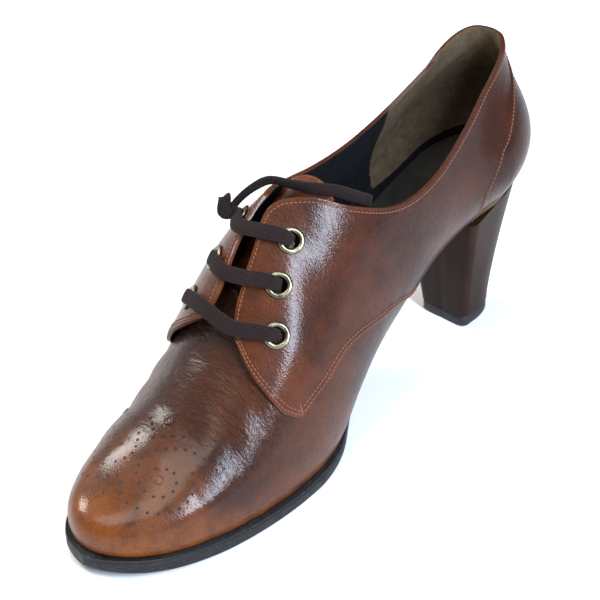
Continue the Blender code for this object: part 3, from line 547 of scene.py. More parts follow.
# Finishes
class Finish:
    """A material on the standard shader, whose patterns are added one by one."""

    def __init__(self, name, roughness, coat=0.0, coat_roughness=0.1, metallic=0.0, sheen=0.0):
        self.material = bpy.data.materials.new(name)
        self.material.use_nodes = True
        self.nodes = self.material.node_tree.nodes
        self.links = self.material.node_tree.links
        self.shader = self.nodes["Principled BSDF"]
        self.shader.inputs["Roughness"].default_value = roughness
        self.shader.inputs["Metallic"].default_value = metallic
        self.shader.inputs["Coat Weight"].default_value = coat
        self.shader.inputs["Coat Roughness"].default_value = coat_roughness
        self.shader.inputs["Sheen Weight"].default_value = sheen
        self.place = self.nodes.new("ShaderNodeTexCoord")

    def noise(self, scale, detail=4.0, rough=0.55, stretch=None, distortion=0.0):
        node = self.nodes.new("ShaderNodeTexNoise")
        node.inputs["Scale"].default_value = scale
        node.inputs["Detail"].default_value = detail
        node.inputs["Roughness"].default_value = rough
        node.inputs["Distortion"].default_value = distortion
        self.links.new(self.spot(stretch, "Object"), node.inputs["Vector"])
        return node.outputs["Fac"]

    def cells(self, scale, feature="DISTANCE_TO_EDGE", stretch=None, source="Object"):
        node = self.nodes.new("ShaderNodeTexVoronoi")
        node.feature = feature
        node.inputs["Scale"].default_value = scale
        self.links.new(self.spot(stretch, source), node.inputs["Vector"])
        return node.outputs["Distance"]

    def spot(self, stretch, source):
        if stretch is None:
            return self.place.outputs[source]
        mapping = self.nodes.new("ShaderNodeMapping")
        mapping.inputs["Scale"].default_value = stretch
        self.links.new(self.place.outputs[source], mapping.inputs["Vector"])
        return mapping.outputs["Vector"]

    # Reads a point attribute: the tan wear, the painted shade, the flex of the creases and the suede lining.
    def wear_and_shade_value(self, name):
        node = self.nodes.new("ShaderNodeAttribute")
        node.attribute_name = name
        return node.outputs["Fac"]

    def ramp(self, value, low, high, out_low=0.0, out_high=1.0):
        node = self.nodes.new("ShaderNodeMapRange")
        node.inputs["From Min"].default_value = low
        node.inputs["From Max"].default_value = high
        node.inputs["To Min"].default_value = out_low
        node.inputs["To Max"].default_value = out_high
        self.links.new(value, node.inputs["Value"])
        return node.outputs["Result"]

    def times(self, a, b):
        node = self.nodes.new("ShaderNodeMath")
        node.operation = "MULTIPLY"
        for socket, value in zip(node.inputs, (a, b)):
            self.links.new(value, socket)
        return node.outputs[0]

    def scaled(self, color, share):
        node = self.nodes.new("ShaderNodeVectorMath")
        node.operation = "SCALE"
        self.links.new(color, node.inputs[0])
        self.links.new(share, node.inputs["Scale"])
        return node.outputs[0]

    def blend(self, share, a, b):
        node = self.nodes.new("ShaderNodeMix")
        node.data_type = "RGBA"
        for socket, value in ((node.inputs[0], share), (node.inputs[6], a), (node.inputs[7], b)):
            if isinstance(value, tuple):
                socket.default_value = (*value, 1.0)
            else:
                self.links.new(value, socket)
        return node.outputs[2]

    def color(self, value):
        if isinstance(value, tuple):
            self.shader.inputs["Base Color"].default_value = (*value, 1.0)
        else:
            self.links.new(value, self.shader.inputs["Base Color"])

    def roughness(self, value):
        self.links.new(value, self.shader.inputs["Roughness"])

    def bump(self, height, depth, strength=1.0, below=None):
        node = self.nodes.new("ShaderNodeBump")
        node.inputs["Distance"].default_value = depth
        node.inputs["Strength"].default_value = strength
        self.links.new(height, node.inputs["Height"])
        if below is not None:
            self.links.new(below, node.inputs["Normal"])
        return node.outputs["Normal"]

    def normal(self, value, coat=None):
        self.links.new(value, self.shader.inputs["Normal"])
        self.links.new(coat or value, self.shader.inputs["Coat Normal"])


def chestnut_leather(name, mid, dark, tan):
    """Glossy antiqued leather: mottled brown, tan where it is burnished, darkened toward a painted shade
    colour where its shade attribute is high, pebbled and wrinkled.
    """
    leather = Finish(name, 0.42, coat=0.31, coat_roughness=0.13)
    clouds = leather.ramp(leather.noise(42, 6, 0.66), 0.38, 0.64)
    ground = leather.blend(clouds, dark, mid)
    streaks = leather.ramp(leather.noise(160, 6, 0.65, (1.0, 0.5, 1.0)), 0.45, 0.72, 0.0, 0.45)
    ground = leather.blend(leather.times(streaks, leather.wear_and_shade_value("tan")), ground, tan)
    patches = leather.ramp(leather.noise(85, 6, 0.68), 0.36, 0.64, 0.25, 1.20)
    ground = leather.blend(leather.times(leather.wear_and_shade_value("tan"), patches), ground, tan)
    # Painted shade: the colour is pulled toward a third of the dark brown as far as the shade attribute says.
    shaded = leather.blend(leather.wear_and_shade_value("shade"), ground, tuple(0.34 * c for c in dark))
    fine = leather.ramp(leather.noise(900, 3, 0.6), 0.3, 0.75, 0.82, 1.12)
    leather.color(leather.scaled(shaded, fine))
    leather.shader.inputs["Specular IOR Level"].default_value = 0.10
    leather.roughness(leather.ramp(leather.noise(120, 4), 0.3, 0.7, 0.34, 0.48))
    grain = leather.cells(880)
    pebble = leather.bump(grain, 0.00034, 0.55)
    pores = leather.bump(leather.noise(1900, 3, 0.7), 0.00015, 0.5, pebble)
    folds = leather.times(leather.noise(330, 5, 0.62, (0.55, 1.8, 1.1), 0.6), leather.wear_and_shade_value("flex"))
    gloss = leather.bump(folds, 0.00140, 0.20, leather.bump(grain, 0.00034, 0.13))
    leather.normal(leather.bump(folds, 0.00160, 0.95, pores), gloss)
    return leather.material


def lining_finish():
    """Dark lining in front, taupe suede round the heel."""
    lining = Finish("shoe lining", 0.95)
    lining.shader.inputs["Specular IOR Level"].default_value = 0.12
    nap = lining.ramp(lining.noise(240, 5, 0.7), 0.3, 0.7)
    front = lining.blend(nap, (0.004, 0.0045, 0.006), (0.009, 0.010, 0.012))
    back = lining.blend(nap, (0.070, 0.048, 0.028), (0.125, 0.090, 0.056))
    lining.color(lining.blend(lining.wear_and_shade_value("suede"), front, back))
    lining.normal(lining.bump(lining.noise(1500, 3), 0.0002, 0.4))
    return lining.material


def insole_finish():
    sock = Finish("insole sock", 0.85)
    sock.shader.inputs["Specular IOR Level"].default_value = 0.2
    worn = sock.ramp(sock.noise(70, 5), 0.35, 0.7)
    sock.color(sock.blend(worn, (0.020, 0.019, 0.017), (0.040, 0.037, 0.032)))
    sock.normal(sock.bump(sock.noise(1800, 2), 0.0002, 0.4))
    return sock.material


def sole_finish():
    rubber = Finish("black sole", 0.58)
    specks = rubber.ramp(rubber.noise(1300, 3, 0.7), 0.56, 0.70)
    black = rubber.blend(specks, (0.0040, 0.0040, 0.0045), (0.035, 0.035, 0.037))
    sides = rubber.nodes.new("ShaderNodeSeparateXYZ")
    rubber.links.new(rubber.place.outputs["Object"], sides.inputs[0])
    seat = rubber.ramp(sides.outputs["Y"], 0.044, 0.066)
    rubber.color(rubber.blend(seat, black, (0.070, 0.042, 0.014)))
    rubber.shader.inputs["Specular IOR Level"].default_value = 0.3
    rubber.roughness(rubber.ramp(rubber.noise(300, 4), 0.3, 0.7, 0.45, 0.68))
    rubber.normal(rubber.bump(rubber.noise(900, 4), 0.0002, 0.5))
    return rubber.material


def heel_finish():
    cover = Finish("dark heel cover", 0.45, coat=0.04, coat_roughness=0.25)
    cover.shader.inputs["Specular IOR Level"].default_value = 0.12
    clouds = cover.ramp(cover.noise(55, 4), 0.3, 0.7)
    cover.color(cover.blend(clouds, (0.0120, 0.0045, 0.0026), (0.024, 0.0090, 0.0048)))
    cover.normal(cover.bump(cover.noise(1300, 3), 0.00010, 0.35))
    return cover.material


def brass_finish():
    brass = Finish("antique brass", 0.33, metallic=1.0)
    tarnish = brass.ramp(brass.noise(420, 4), 0.42, 0.66)
    brass.color(brass.blend(tarnish, (0.25, 0.225, 0.150), (0.090, 0.080, 0.052)))
    brass.normal(brass.bump(brass.noise(1500, 2), 0.00008, 0.3))
    return brass.material


def lace_finish():
    """Flat woven lace: ribs along it, threads across."""
    lace = Finish("woven lace", 0.9, sheen=0.03)
    threads = lace.cells(1.0, "F1", (26.0, 1500.0, 1.0), "UV")
    ribs = lace.nodes.new("ShaderNodeTexWave")
    ribs.wave_type = "BANDS"
    ribs.bands_direction = "X"
    ribs.inputs["Scale"].default_value = 1.0
    ribs.inputs["Distortion"].default_value = 0.6
    lace.links.new(lace.spot((2.2, 120.0, 1.0), "UV"), ribs.inputs["Vector"])
    tone = lace.times(lace.ramp(threads, 0.0, 0.8), ribs.outputs["Fac"])
    lace.color(lace.blend(tone, (0.0060, 0.0026, 0.0026), (0.024, 0.0105, 0.0100)))
    lace.shader.inputs["Specular IOR Level"].default_value = 0.2
    under = lace.bump(ribs.outputs["Fac"], 0.00030, 0.7)
    lace.normal(lace.bump(threads, 0.00022, 0.6, under))
    return lace.material


def plain_finish(name, color, roughness, scale=400, dark=0.7):
    """One colour, mottled to a darker share of itself."""
    plain = Finish(name, roughness)
    plain.color(plain.blend(plain.noise(scale, 2), color, tuple(dark * c for c in color)))
    return plain.material


LEATHER = chestnut_leather(
    "chestnut leather", (0.066, 0.0150, 0.0050), (0.026, 0.0062, 0.0030), (0.140, 0.039, 0.008))
VAMP_LEATHER = chestnut_leather(
    "vamp leather", (0.070, 0.0190, 0.0064), (0.029, 0.0085, 0.0042), (0.165, 0.046, 0.008))
LINING = lining_finish()
SOCK = insole_finish()
SOLE = sole_finish()
TIP = plain_finish("black heel tip", (0.006, 0.006, 0.0065), 0.6)
HEEL_COVER = heel_finish()
BRASS = brass_finish()
LACE = lace_finish()
THREAD = plain_finish("orange brown thread", (0.230, 0.080, 0.045), 0.6, 900, 0.6)
# Painted shade: the dark colour of the uncut toe holes stands for the shade inside each hole.
HOLE_SHADE = plain_finish("punched hole shade", (0.012, 0.006, 0.005), 0.8)
RING = plain_finish("pressed ring", (0.050, 0.017, 0.010), 0.5)
EDGE = plain_finish("cut leather edge", (0.050, 0.018, 0.011), 0.5)


# Mesh helpers
def add_piece(name, mesh, materials):
    piece = link_object(name, mesh)
    for material in materials:
        mesh.materials.append(material)
    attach(piece, "root")
    return piece


def grid_mesh(name, grids, wear_and_shade):
    """Mesh of grids of points, joined where they meet. wear_and_shade holds arrays of the same layout: tan
    wear, painted shade, flex and suede.
    """
    points, faces, values = [], [], {key: [] for key in wear_and_shade}
    for number, (grid, flip) in enumerate(grids):
        count = len(points)
        rows, columns = grid.shape[:2]
        points.extend(grid.reshape(-1, 3).tolist())
        for key in values:
            values[key].extend(np.broadcast_to(wear_and_shade[key][number], (rows, columns)).reshape(-1).tolist())
        for i in range(rows - 1):
            for j in range(columns - 1):
                a = count + i * columns + j
                face = (a, a + columns, a + columns + 1, a + 1)
                faces.append(face[::-1] if flip else face)
    mesh = bpy.data.meshes.new(name)
    mesh.from_pydata(points, [], faces)
    for key in values:
        mesh.attributes.new(key, "FLOAT", "POINT").data.foreach_set("value", values[key])
    shape = bmesh.new()
    shape.from_mesh(mesh)
    bmesh.ops.remove_doubles(shape, verts=shape.verts, dist=0.00002)
    bmesh.ops.dissolve_degenerate(shape, edges=shape.edges, dist=0.00001)
    shape.to_mesh(mesh)
    shape.free()
    mesh.shade_smooth()
    return mesh


def face_outwards(mesh, merge=False):
    """Turn the faces of a closed mesh outwards, its doubles merged first where asked."""
    shape = bmesh.new()
    shape.from_mesh(mesh)
    if merge:
        bmesh.ops.remove_doubles(shape, verts=shape.verts, dist=0.00001)
    bmesh.ops.recalc_face_normals(shape, faces=shape.faces)
    shape.to_mesh(mesh)
    shape.free()


def finish_mesh(piece):
    """Give the piece the mesh that its modifiers make, and take them off."""
    shown = piece.evaluated_get(bpy.context.evaluated_depsgraph_get())
    mesh = bpy.data.meshes.new_from_object(shown)
    piece.modifiers.clear()
    piece.data = mesh


def wall(piece, thickness, inside, rim):
    """A wall inwards from the outer face; inside and rim count materials on from the outer one."""
    solid = piece.modifiers.new("wall", "SOLIDIFY")
    solid.thickness = thickness
    solid.offset = -1.0
    solid.material_offset = inside
    solid.material_offset_rim = rim
    solid.use_even_offset = False


def round_edges(piece, width):
    bevel = piece.modifiers.new("edges", "BEVEL")
    bevel.width = width
    bevel.segments = 3
    bevel.limit_method = "ANGLE"
    bevel.angle_limit = math.radians(50)
    bevel.harden_normals = False


def spin(profile, center, normal, segments):
    """Copies of a profile of radius and height, turned about an axis."""
    axes = np.array(Vector(tuple(normal)).to_track_quat("Z", "Y").to_matrix())
    angles = np.linspace(0, 2 * math.pi, segments, endpoint=False)
    return [[np.asarray(center) + axes @ (r * math.cos(t), r * math.sin(t), z) for r, z in profile]
            for t in angles]


def lathe_mesh(name, spots, profile, segments, closed=True):
    """The same turned shape at each spot; spots holds centres and axes."""
    points, faces = [], []
    for center, normal in spots:
        start = len(points)
        for ring in spin(profile, center, normal, segments):
            points.extend(map(tuple, ring))
        count = len(profile)
        sides = count if closed else count - 1
        for i in range(segments):
            for j in range(sides):
                a, b = start + i * count, start + (i + 1) % segments * count
                faces.append((a + j, b + j, b + (j + 1) % count, a + (j + 1) % count))
    mesh = bpy.data.meshes.new(name)
    mesh.from_pydata(points, [], faces)
    mesh.shade_smooth()
    return mesh


def loft_mesh(name, rings, smooth_angle):
    """Closed solid through rings, flat at both ends."""
    count = len(rings[0])
    points = [tuple(point) for ring in rings for point in ring]
    faces = [tuple(range(count)), tuple(range(len(points) - 1, len(points) - count - 1, -1))]
    for i in range(len(rings) - 1):
        for j in range(count):
            a, b = i * count, (i + 1) * count
            k = (j + 1) % count
            faces.append((a + j, b + j, b + k, a + k))
    mesh = bpy.data.meshes.new(name)
    mesh.from_pydata(points, [], faces)
    face_outwards(mesh)
    mesh.shade_smooth()
    mesh.set_sharp_from_angle(angle=math.radians(smooth_angle))
    return mesh


# Free end of the lace, made first
def lace_curve(points, spacing):
    """A smooth line through points, evenly spaced."""
    points = np.asarray(points, float)
    ways = ways_along(points)
    table = np.column_stack((ways, points))
    dense = np.stack([read(table, k, np.linspace(0, ways[-1], 600)) for k in (1, 2, 3)], -1)
    along = ways_along(dense)
    places = np.linspace(0, along[-1], max(int(along[-1] / spacing), 4) + 1)
    return np.stack([np.interp(places, along, dense[:, k]) for k in range(3)], -1)


def ribbon_mesh(name, line, across, widths, thicknesses):
    """A flat woven band along a line; across holds its direction of width at each point."""
    tangents = unit(np.gradient(line, axis=0))
    across = unit(across - tangents * np.sum(across * tangents, axis=1, keepdims=True))
    normals = np.cross(tangents, across)
    angles = np.linspace(0, 2 * math.pi, LACE_CORNERS, endpoint=False)
    wide, thick = (np.sign(turn) * np.abs(turn) ** 0.75 for turn in (np.cos(angles), np.sin(angles)))
    rings = (line[:, None] + across[:, None] * (wide[None, :, None] * widths[:, None, None] / 2)
             + normals[:, None] * (thick[None, :, None] * thicknesses[:, None, None] / 2))
    mesh = loft_mesh(name, rings, 180)
    ways = ways_along(line)
    uv = mesh.uv_layers.new(name="band")
    for loop in mesh.loops:
        i, j = divmod(loop.vertex_index, LACE_CORNERS)
        uv.data[loop.index].uv = (0.5 + 0.5 * wide[j], ways[i])
    return mesh


def make_lace_end():
    line = lace_curve(np.array(LACE_END) - MIDDLE, LACE_END_STEP)
    share = np.linspace(0, 1, len(line))[:, None]
    upright = unit(np.array((0.15, -0.75, 0.65)))
    level = unit(np.array((-0.25, 0.45, 0.85)))
    across = (1 - share) * upright + share * level
    widths = np.full(len(line), LACE_END_WIDTH)
    thicknesses = np.full(len(line), LACE_END_THICKNESS)
    mesh = ribbon_mesh("lace_end", line, across, widths, thicknesses)
    piece = add_piece("lace_end", mesh, [LACE])
    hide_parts("lace_tail")


make_lace_end()


# Vamp
VAMP_ROWS = 56
VAMP_TOE_COLUMNS = 44
VAMP_MIDDLE_COLUMNS = 74
VAMP_BACK_COLUMNS = 70
VAMP_MIDDLE_END = 0.0900
RIDGE_PASSES = 90
# Upper edge of the vamp behind the throat, under the quarters: girth, rise
VAMP_EDGE = (
    (0.0820, 1.00), (0.0860, 0.82), (0.0920, 0.66), (0.1050, 0.56), (0.1250, 0.54), (0.1400, 0.49),
    (0.1550, 0.38), (0.1720, 0.20), (0.1860, 0.10), (LAST_END, 0.08),
)


def bell(values, middle, half):
    """1 at the middle, fading to both sides."""
    return np.exp(-(((values - middle) / half) ** 2))


def vamp_relief(points):
    """How far the creases press into the vamp at each point, in metres."""
    x = (points[..., 0] + MIDDLE[0]) * 1000
    y = (points[..., 1] + MIDDLE[1]) * 1000
    depth = np.zeros(x.shape)
    for x0, y0, x1, y1, deep, half in CREASES:
        dx, dy = x1 - x0, y1 - y0
        length = math.hypot(dx, dy)
        along = ((x - x0) * dx + (y - y0) * dy) / length**2
        beside = ((x - x0) * dy - (y - y0) * dx) / length
        beside = beside + 0.8 * np.sin(along * 3.0 + x0)
        fade = np.clip(np.minimum(along + 0.25, 1.25 - along) * 3.0, 0, 1)
        fade = fade**2 * (3 - 2 * fade)
        trough = bell(beside, 0, half) - 0.35 * bell(np.abs(beside), 2.2 * half, half)
        depth += deep * fade * trough
    return depth / 1000


def vamp_normal(side, girth, rise):
    """Normals of the vamp, the same for both halves along the middle line."""
    near = last_normal(side, girth, rise)
    middle = unit(last_normal(INNER, girth, 0 * rise + 1) + last_normal(OUTER, girth, 0 * rise + 1))
    share = np.clip((rise - 0.75) / 0.25, 0, 1)[..., None] * (np.asarray(girth) <= THROAT)[..., None]
    return unit((1 - share) * near + share * middle)


def smooth_ridge(halves, girths, rises):
    """Round the vamp over its middle line, where the two halves meet."""
    strip = np.concatenate((halves[0], halves[1][:, -2::-1]), axis=1)
    height = np.concatenate((rises, rises[:, -2::-1]), axis=1)
    rows = ((girths > TOE_FAN) & (girths <= THROAT)) * np.clip((girths - TOE_FAN) / 0.010, 0, 1)
    weight = (rows[:, None] * np.clip((height - 0.70) / 0.15, 0, 1))[:, 1:-1, None]
    for _ in range(RIDGE_PASSES):
        strip[:, 1:-1] += 0.5 * weight * (0.5 * (strip[:, :-2] + strip[:, 2:]) - strip[:, 1:-1])
    count = rises.shape[1]
    outer = strip[:, count - 1:][:, ::-1].copy()
    outer[girths > THROAT, -1] = halves[1][girths > THROAT, -1]
    return strip[:, :count], outer


def make_vamp():
    grids, tan, shade, flex = [], [], [], []
    girths = np.concatenate((
        np.linspace(0, TOE_FAN, VAMP_TOE_COLUMNS),
        np.linspace(TOE_FAN, VAMP_MIDDLE_END, VAMP_MIDDLE_COLUMNS)[1:],
        np.linspace(VAMP_MIDDLE_END, LAST_END, VAMP_BACK_COLUMNS)[1:],
    ))
    top = np.where(girths <= THROAT, 1.0, read(VAMP_EDGE, 1, girths))
    rises = top[:, None] * np.linspace(0, 1, VAMP_ROWS + 1)[None, :]
    g = np.broadcast_to(girths[:, None], rises.shape)
    halves = smooth_ridge([last(side, g, rises) for side in (INNER, OUTER)], girths, rises)
    for side, points in zip((INNER, OUTER), halves):
        points = points - vamp_relief(points)[..., None] * vamp_normal(side, g, rises)
        grids.append((points, side == OUTER))
        station = points[..., 1] + MIDDLE[1]
        height = points[..., 2]
        toe = np.clip(1 - station / 0.042, 0, 1)
        low = np.clip(1 - rises / 0.28, 0, 1) * np.clip(1.3 - station / 0.15, 0, 1)
        tan.append(np.clip(0.85 * toe**0.8 + 0.75 * low**1.2, 0, 1))
        # Painted shade: darker in the hollow of the main crease, under the facings and laces behind the
        # throat, and slightly darker higher up.
        hollow = bell(station, 0.052, 0.012) * np.clip(rises * 1.6 - 0.6, 0, 1)
        under = np.clip((station - 0.066) / 0.012, 0, 1) * np.clip(rises * 1.6 - 0.7, 0, 1)
        shade.append(np.clip(0.30 * hollow + 0.55 * under + 0.10 * np.clip(height / 0.06, 0, 1), 0, 1))
        bend = bell(station, 0.066, 0.022) * np.clip(rises * 2.2, 0.15, 1)
        flex.append(np.clip(0.12 + 0.95 * bend, 0, 1))
    mesh = grid_mesh("vamp", grids, {"tan": tan, "shade": shade, "flex": flex, "suede": [0.0, 0.0]})
    vamp = add_piece("vamp", mesh, [VAMP_LEATHER, LINING, EDGE])
    wall(vamp, VAMP_WALL, 1, 2)
    finish_mesh(vamp)
    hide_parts("upper")


# Quarters and counter
def hole_cutter(side):
    spots = [(quarter(side, a, b), quarter_normal(side, a, b)) for a, b in EYELETS[side]]
    low, high = -PUNCH_DEPTH, PUNCH_DEPTH
    profile = ((0.0, low), (PUNCH_RADIUS, low), (PUNCH_RADIUS, high), (0.0, high))
    mesh = lathe_mesh("punch", spots, profile, 32)
    face_outwards(mesh, merge=True)
    return link_object("punch", mesh)


def make_quarter(side):
    name = "quarter_" + SIDE_NAMES[side]
    a = np.linspace(0, 1, QUARTER_COLUMNS)[:, None]
    b = np.linspace(0, 1, QUARTER_ROWS)[None, :]
    points = QUARTER_GRID[side].copy()
    height = np.clip((points[..., 2] - 0.045) / 0.055, 0, 1)
    edge = np.minimum(np.minimum(a * 60, (1 - b) * 22), np.minimum(b * 22, (1 - a) * 45))
    near_edge = np.clip(1 - edge, 0, 1)
    top = np.clip((b - 0.55) / 0.45, 0, 1) * np.clip(1.2 - a * 3.2, 0, 1)
    tan = np.clip(0.22 * near_edge + 0.45 * top + 0.14 * (1 - height), 0, 1)
    # Painted shade: darker towards the back of the quarter and more so higher up, less along its edges.
    shade = np.clip(0.50 * np.clip((a - 0.18) * 2.4, 0, 1) * (0.5 + 0.5 * height) - 0.15 * near_edge, 0, 1)
    flex = np.clip(0.20 + 0.15 * bell(a, 0.35, 0.2) + 0 * b, 0, 1)
    suede = np.where(points[..., 1] + MIDDLE[1] > 0.187, 1.0, 0.0)
    wear_and_shade = {"tan": [tan], "shade": [shade], "flex": [flex], "suede": [suede]}
    mesh = grid_mesh(name, [(points, side == OUTER)], wear_and_shade)
    piece = add_piece(name, mesh, [LEATHER, LINING, EDGE])
    wall(piece, QUARTER_WALL, 1, 0)
    round_edges(piece, QUARTER_ROUNDING)
    cutter = hole_cutter(side)
    punch = piece.modifiers.new("punch", "BOOLEAN")
    punch.object = cutter
    punch.solver = "EXACT"
    finish_mesh(piece)
    bpy.data.objects.remove(cutter)
    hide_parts("upper")


def make_counter():
    """Outside counter round the back, its front edges under the quarters."""
    grids, tan, shade, flex, suede = [], [], [], [], []
    for side in (INNER, OUTER):
        foot = path(((0.1905, QUARTER_FOOT), (0.2140, QUARTER_FOOT), (LAST_END, QUARTER_FOOT)))
        head = path(((0.2290, 1.0), (0.2335, 1.0), (LAST_END, 1.0)))
        front = path([(girth - COUNTER_TUCK, rise) for girth, rise in COUNTER_SEAM])
        back = path(((LAST_END, QUARTER_FOOT), (LAST_END, 0.5), (LAST_END, 1.0)))
        a = np.linspace(0, 1, 44)[:, None]
        b = np.linspace(0, 1, 60)[None, :]
        girth, rise = np.moveaxis(patch(foot, head, front, back)(a, b), -1, 0)
        fade = np.clip((b - 0.72) / 0.28, 0, 1)
        proud = COUNTER_PROUD + (QUARTER_PROUD - 0.0001 - COUNTER_PROUD) * fade + 0 * a
        normals = last_normal(side, girth, rise)
        points = last(side, girth, rise) + proud[..., None] * normals
        points[-1, :, 0] = -MIDDLE[0]
        grids.append((points, side == OUTER))
        tan.append(np.clip(0.30 * np.clip((0.5 - b) * 2, 0, 1) + 0 * a, 0, 1))
        # Painted shade: the counter is darkened all over, more towards the collar.
        shade.append(0.55 + 0.15 * b + 0 * a)
        flex.append(0.2)
        suede.append(1.0)
    mesh = grid_mesh("counter", grids, {"tan": tan, "shade": shade, "flex": flex, "suede": suede})
    piece = add_piece("counter", mesh, [LEATHER, LINING, EDGE])
    wall(piece, COUNTER_WALL, 1, 0)
    round_edges(piece, LEATHER_ROUNDING)
    finish_mesh(piece)
    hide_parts("upper")


# Tongue
def tongue_lines():
    """Lines across the tongue's outer face, from under the throat to its rounded top."""
    depth = QUARTER_WALL + TONGUE_GAP
    rises = np.linspace(0.82, 1.0, 13)
    lines = []
    for girth in np.linspace(0.0725, 0.1100, 30):
        halves = [last(s, girth, rises) - depth * last_normal(s, girth, rises) for s in (INNER, OUTER)]
        middle = (halves[0][-1] + halves[1][-1]) / 2
        lines.append(np.vstack((halves[0][:-1], middle[None], halves[1][-2::-1])))
    across = np.linspace(1, -1, 25)
    half, station, height, back, down = TONGUE_TOP
    rounded = (TONGUE_TOP_X + half * across, station - back * np.abs(across) ** 3, height - down * across**2)
    top = np.stack(rounded, -1) - MIDDLE
    low = lines[-1]
    for share in np.linspace(0, 1, 14)[1:]:
        lines.append((1 - share) * low + share * top)
    return np.array(lines)


def make_tongue():
    lines = tongue_lines()
    way = np.linspace(0, 1, lines.shape[0])[:, None]
    tan = np.clip((way - 0.78) * 3.0, 0, 0.6) + 0 * lines[..., 0]
    # Painted shade: the tongue is darker low down, where it runs under the facings and laces.
    wear_and_shade = {"tan": [tan], "shade": [0.35 * (1 - way) + 0 * tan], "flex": [0.3], "suede": [0.0]}
    mesh = grid_mesh("tongue_leather", [(lines, False)], wear_and_shade)
    piece = add_piece("tongue_leather", mesh, [LEATHER, LINING])
    wall(piece, TONGUE_WALL, 1, 0)
    round_edges(piece, LEATHER_ROUNDING)
    finish_mesh(piece)
    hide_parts("tongue")


# Stitches and punched holes by geometry nodes
def setting_tree(name, sockets):
    """A tree that sets a shape on points, each turned to a direction, and makes it real and dressed."""
    tree = bpy.data.node_groups.new(name, "GeometryNodeTree")
    for word, kind, value in sockets:
        socket = tree.interface.new_socket(word, in_out="INPUT", socket_type="NodeSocket" + kind)
        if value is not None:
            socket.default_value = value
    tree.interface.new_socket("Pieces", in_out="OUTPUT", socket_type="NodeSocketGeometry")
    add, link = tree.nodes.new, tree.links.new
    given, out = add("NodeGroupInput"), add("NodeGroupOutput")
    turn, copies = add("FunctionNodeAlignRotationToVector"), add("GeometryNodeInstanceOnPoints")
    real, dress = add("GeometryNodeRealizeInstances"), add("GeometryNodeSetMaterial")
    turn.axis = "Z"
    link(turn.outputs["Rotation"], copies.inputs["Rotation"])
    link(copies.outputs["Instances"], real.inputs["Geometry"])
    link(real.outputs["Geometry"], dress.inputs["Geometry"])
    link(given.outputs["Finish"], dress.inputs["Material"])
    link(dress.outputs["Geometry"], out.inputs["Pieces"])
    return tree, given, turn, copies


def sewing_tree():
    """Stitches along every edge line of the mesh it is given."""
    tree, given, turn, copies = setting_tree("sewing", (
        ("Lines", "Geometry", None), ("Pitch", "Float", STITCH_PITCH),
        ("Stitch Length", "Float", STITCH_LENGTH), ("Thread Radius", "Float", THREAD_RADIUS),
        ("Finish", "Material", None)))
    add, link = tree.nodes.new, tree.links.new
    curve, spots = add("GeometryNodeMeshToCurve"), add("GeometryNodeCurveToPoints")
    stitch = add("GeometryNodeMeshCylinder")
    spots.mode = "LENGTH"
    stitch.inputs["Vertices"].default_value = 6
    link(given.outputs["Lines"], curve.inputs["Mesh"])
    link(curve.outputs["Curve"], spots.inputs["Curve"])
    link(given.outputs["Pitch"], spots.inputs["Length"])
    link(given.outputs["Stitch Length"], stitch.inputs["Depth"])
    link(given.outputs["Thread Radius"], stitch.inputs["Radius"])
    link(spots.outputs["Tangent"], turn.inputs["Vector"])
    link(spots.outputs["Points"], copies.inputs["Points"])
    link(stitch.outputs["Mesh"], copies.inputs["Instance"])
    return tree


def punching_tree():
    """A shape set on every point, along the point's own direction and in its own size."""
    tree, given, turn, copies = setting_tree("punching", (
        ("Points", "Geometry", None), ("Shape", "Object", None), ("Finish", "Material", None)))
    add, link = tree.nodes.new, tree.links.new
    spots, shape = add("GeometryNodeMeshToPoints"), add("GeometryNodeObjectInfo")
    facing, size = add("GeometryNodeInputNamedAttribute"), add("GeometryNodeInputNamedAttribute")
    facing.data_type, size.data_type = "FLOAT_VECTOR", "FLOAT"
    facing.inputs["Name"].default_value = "facing"
    size.inputs["Name"].default_value = "size"
    link(given.outputs["Points"], spots.inputs["Mesh"])
    link(given.outputs["Shape"], shape.inputs["Object"])
    link(facing.outputs["Attribute"], turn.inputs["Vector"])
    link(spots.outputs["Points"], copies.inputs["Points"])
    link(shape.outputs["Geometry"], copies.inputs["Instance"])
    link(size.outputs["Attribute"], copies.inputs["Scale"])
    return tree


SEWING = sewing_tree()
PUNCHING = punching_tree()


def grow(name, mesh, tree, values):
    """The plain mesh that a tree makes from points or lines. values holds the tree's inputs by name."""
    piece = link_object(name, mesh)
    modifier = piece.modifiers.new(tree.name, "NODES")
    modifier.node_group = tree
    for item in tree.interface.items_tree:
        if item.item_type == "SOCKET" and item.in_out == "INPUT" and item.name in values:
            modifier[item.identifier] = values[item.name]
    finish_mesh(piece)
    piece.data.shade_smooth()
    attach(piece, "root")


def sew(name, lines, pitch=STITCH_PITCH, length=STITCH_LENGTH):
    """Rows of stitches along lines of points."""
    points, edges = [], []
    for line in lines:
        start = len(points)
        points.extend(map(tuple, line))
        edges.extend((i, i + 1) for i in range(start, len(points) - 1))
    mesh = bpy.data.meshes.new(name)
    mesh.from_pydata(points, edges, [])
    grow(name, mesh, SEWING, {"Pitch": pitch, "Stitch Length": length, "Thread Radius": THREAD_RADIUS,
                              "Finish": THREAD})


def punch(name, spots, sizes, shape, finish):
    """Copies of a shape set on the leather; spots holds points and directions."""
    mesh = bpy.data.meshes.new(name)
    mesh.from_pydata([tuple(point) for point, facing in spots], [], [])
    facings = mesh.attributes.new("facing", "FLOAT_VECTOR", "POINT")
    facings.data.foreach_set("vector", np.ravel([facing for point, facing in spots]))
    mesh.attributes.new("size", "FLOAT", "POINT").data.foreach_set("value", sizes)
    grow(name, mesh, PUNCHING, {"Shape": shape, "Finish": finish})
    bpy.data.objects.remove(shape)


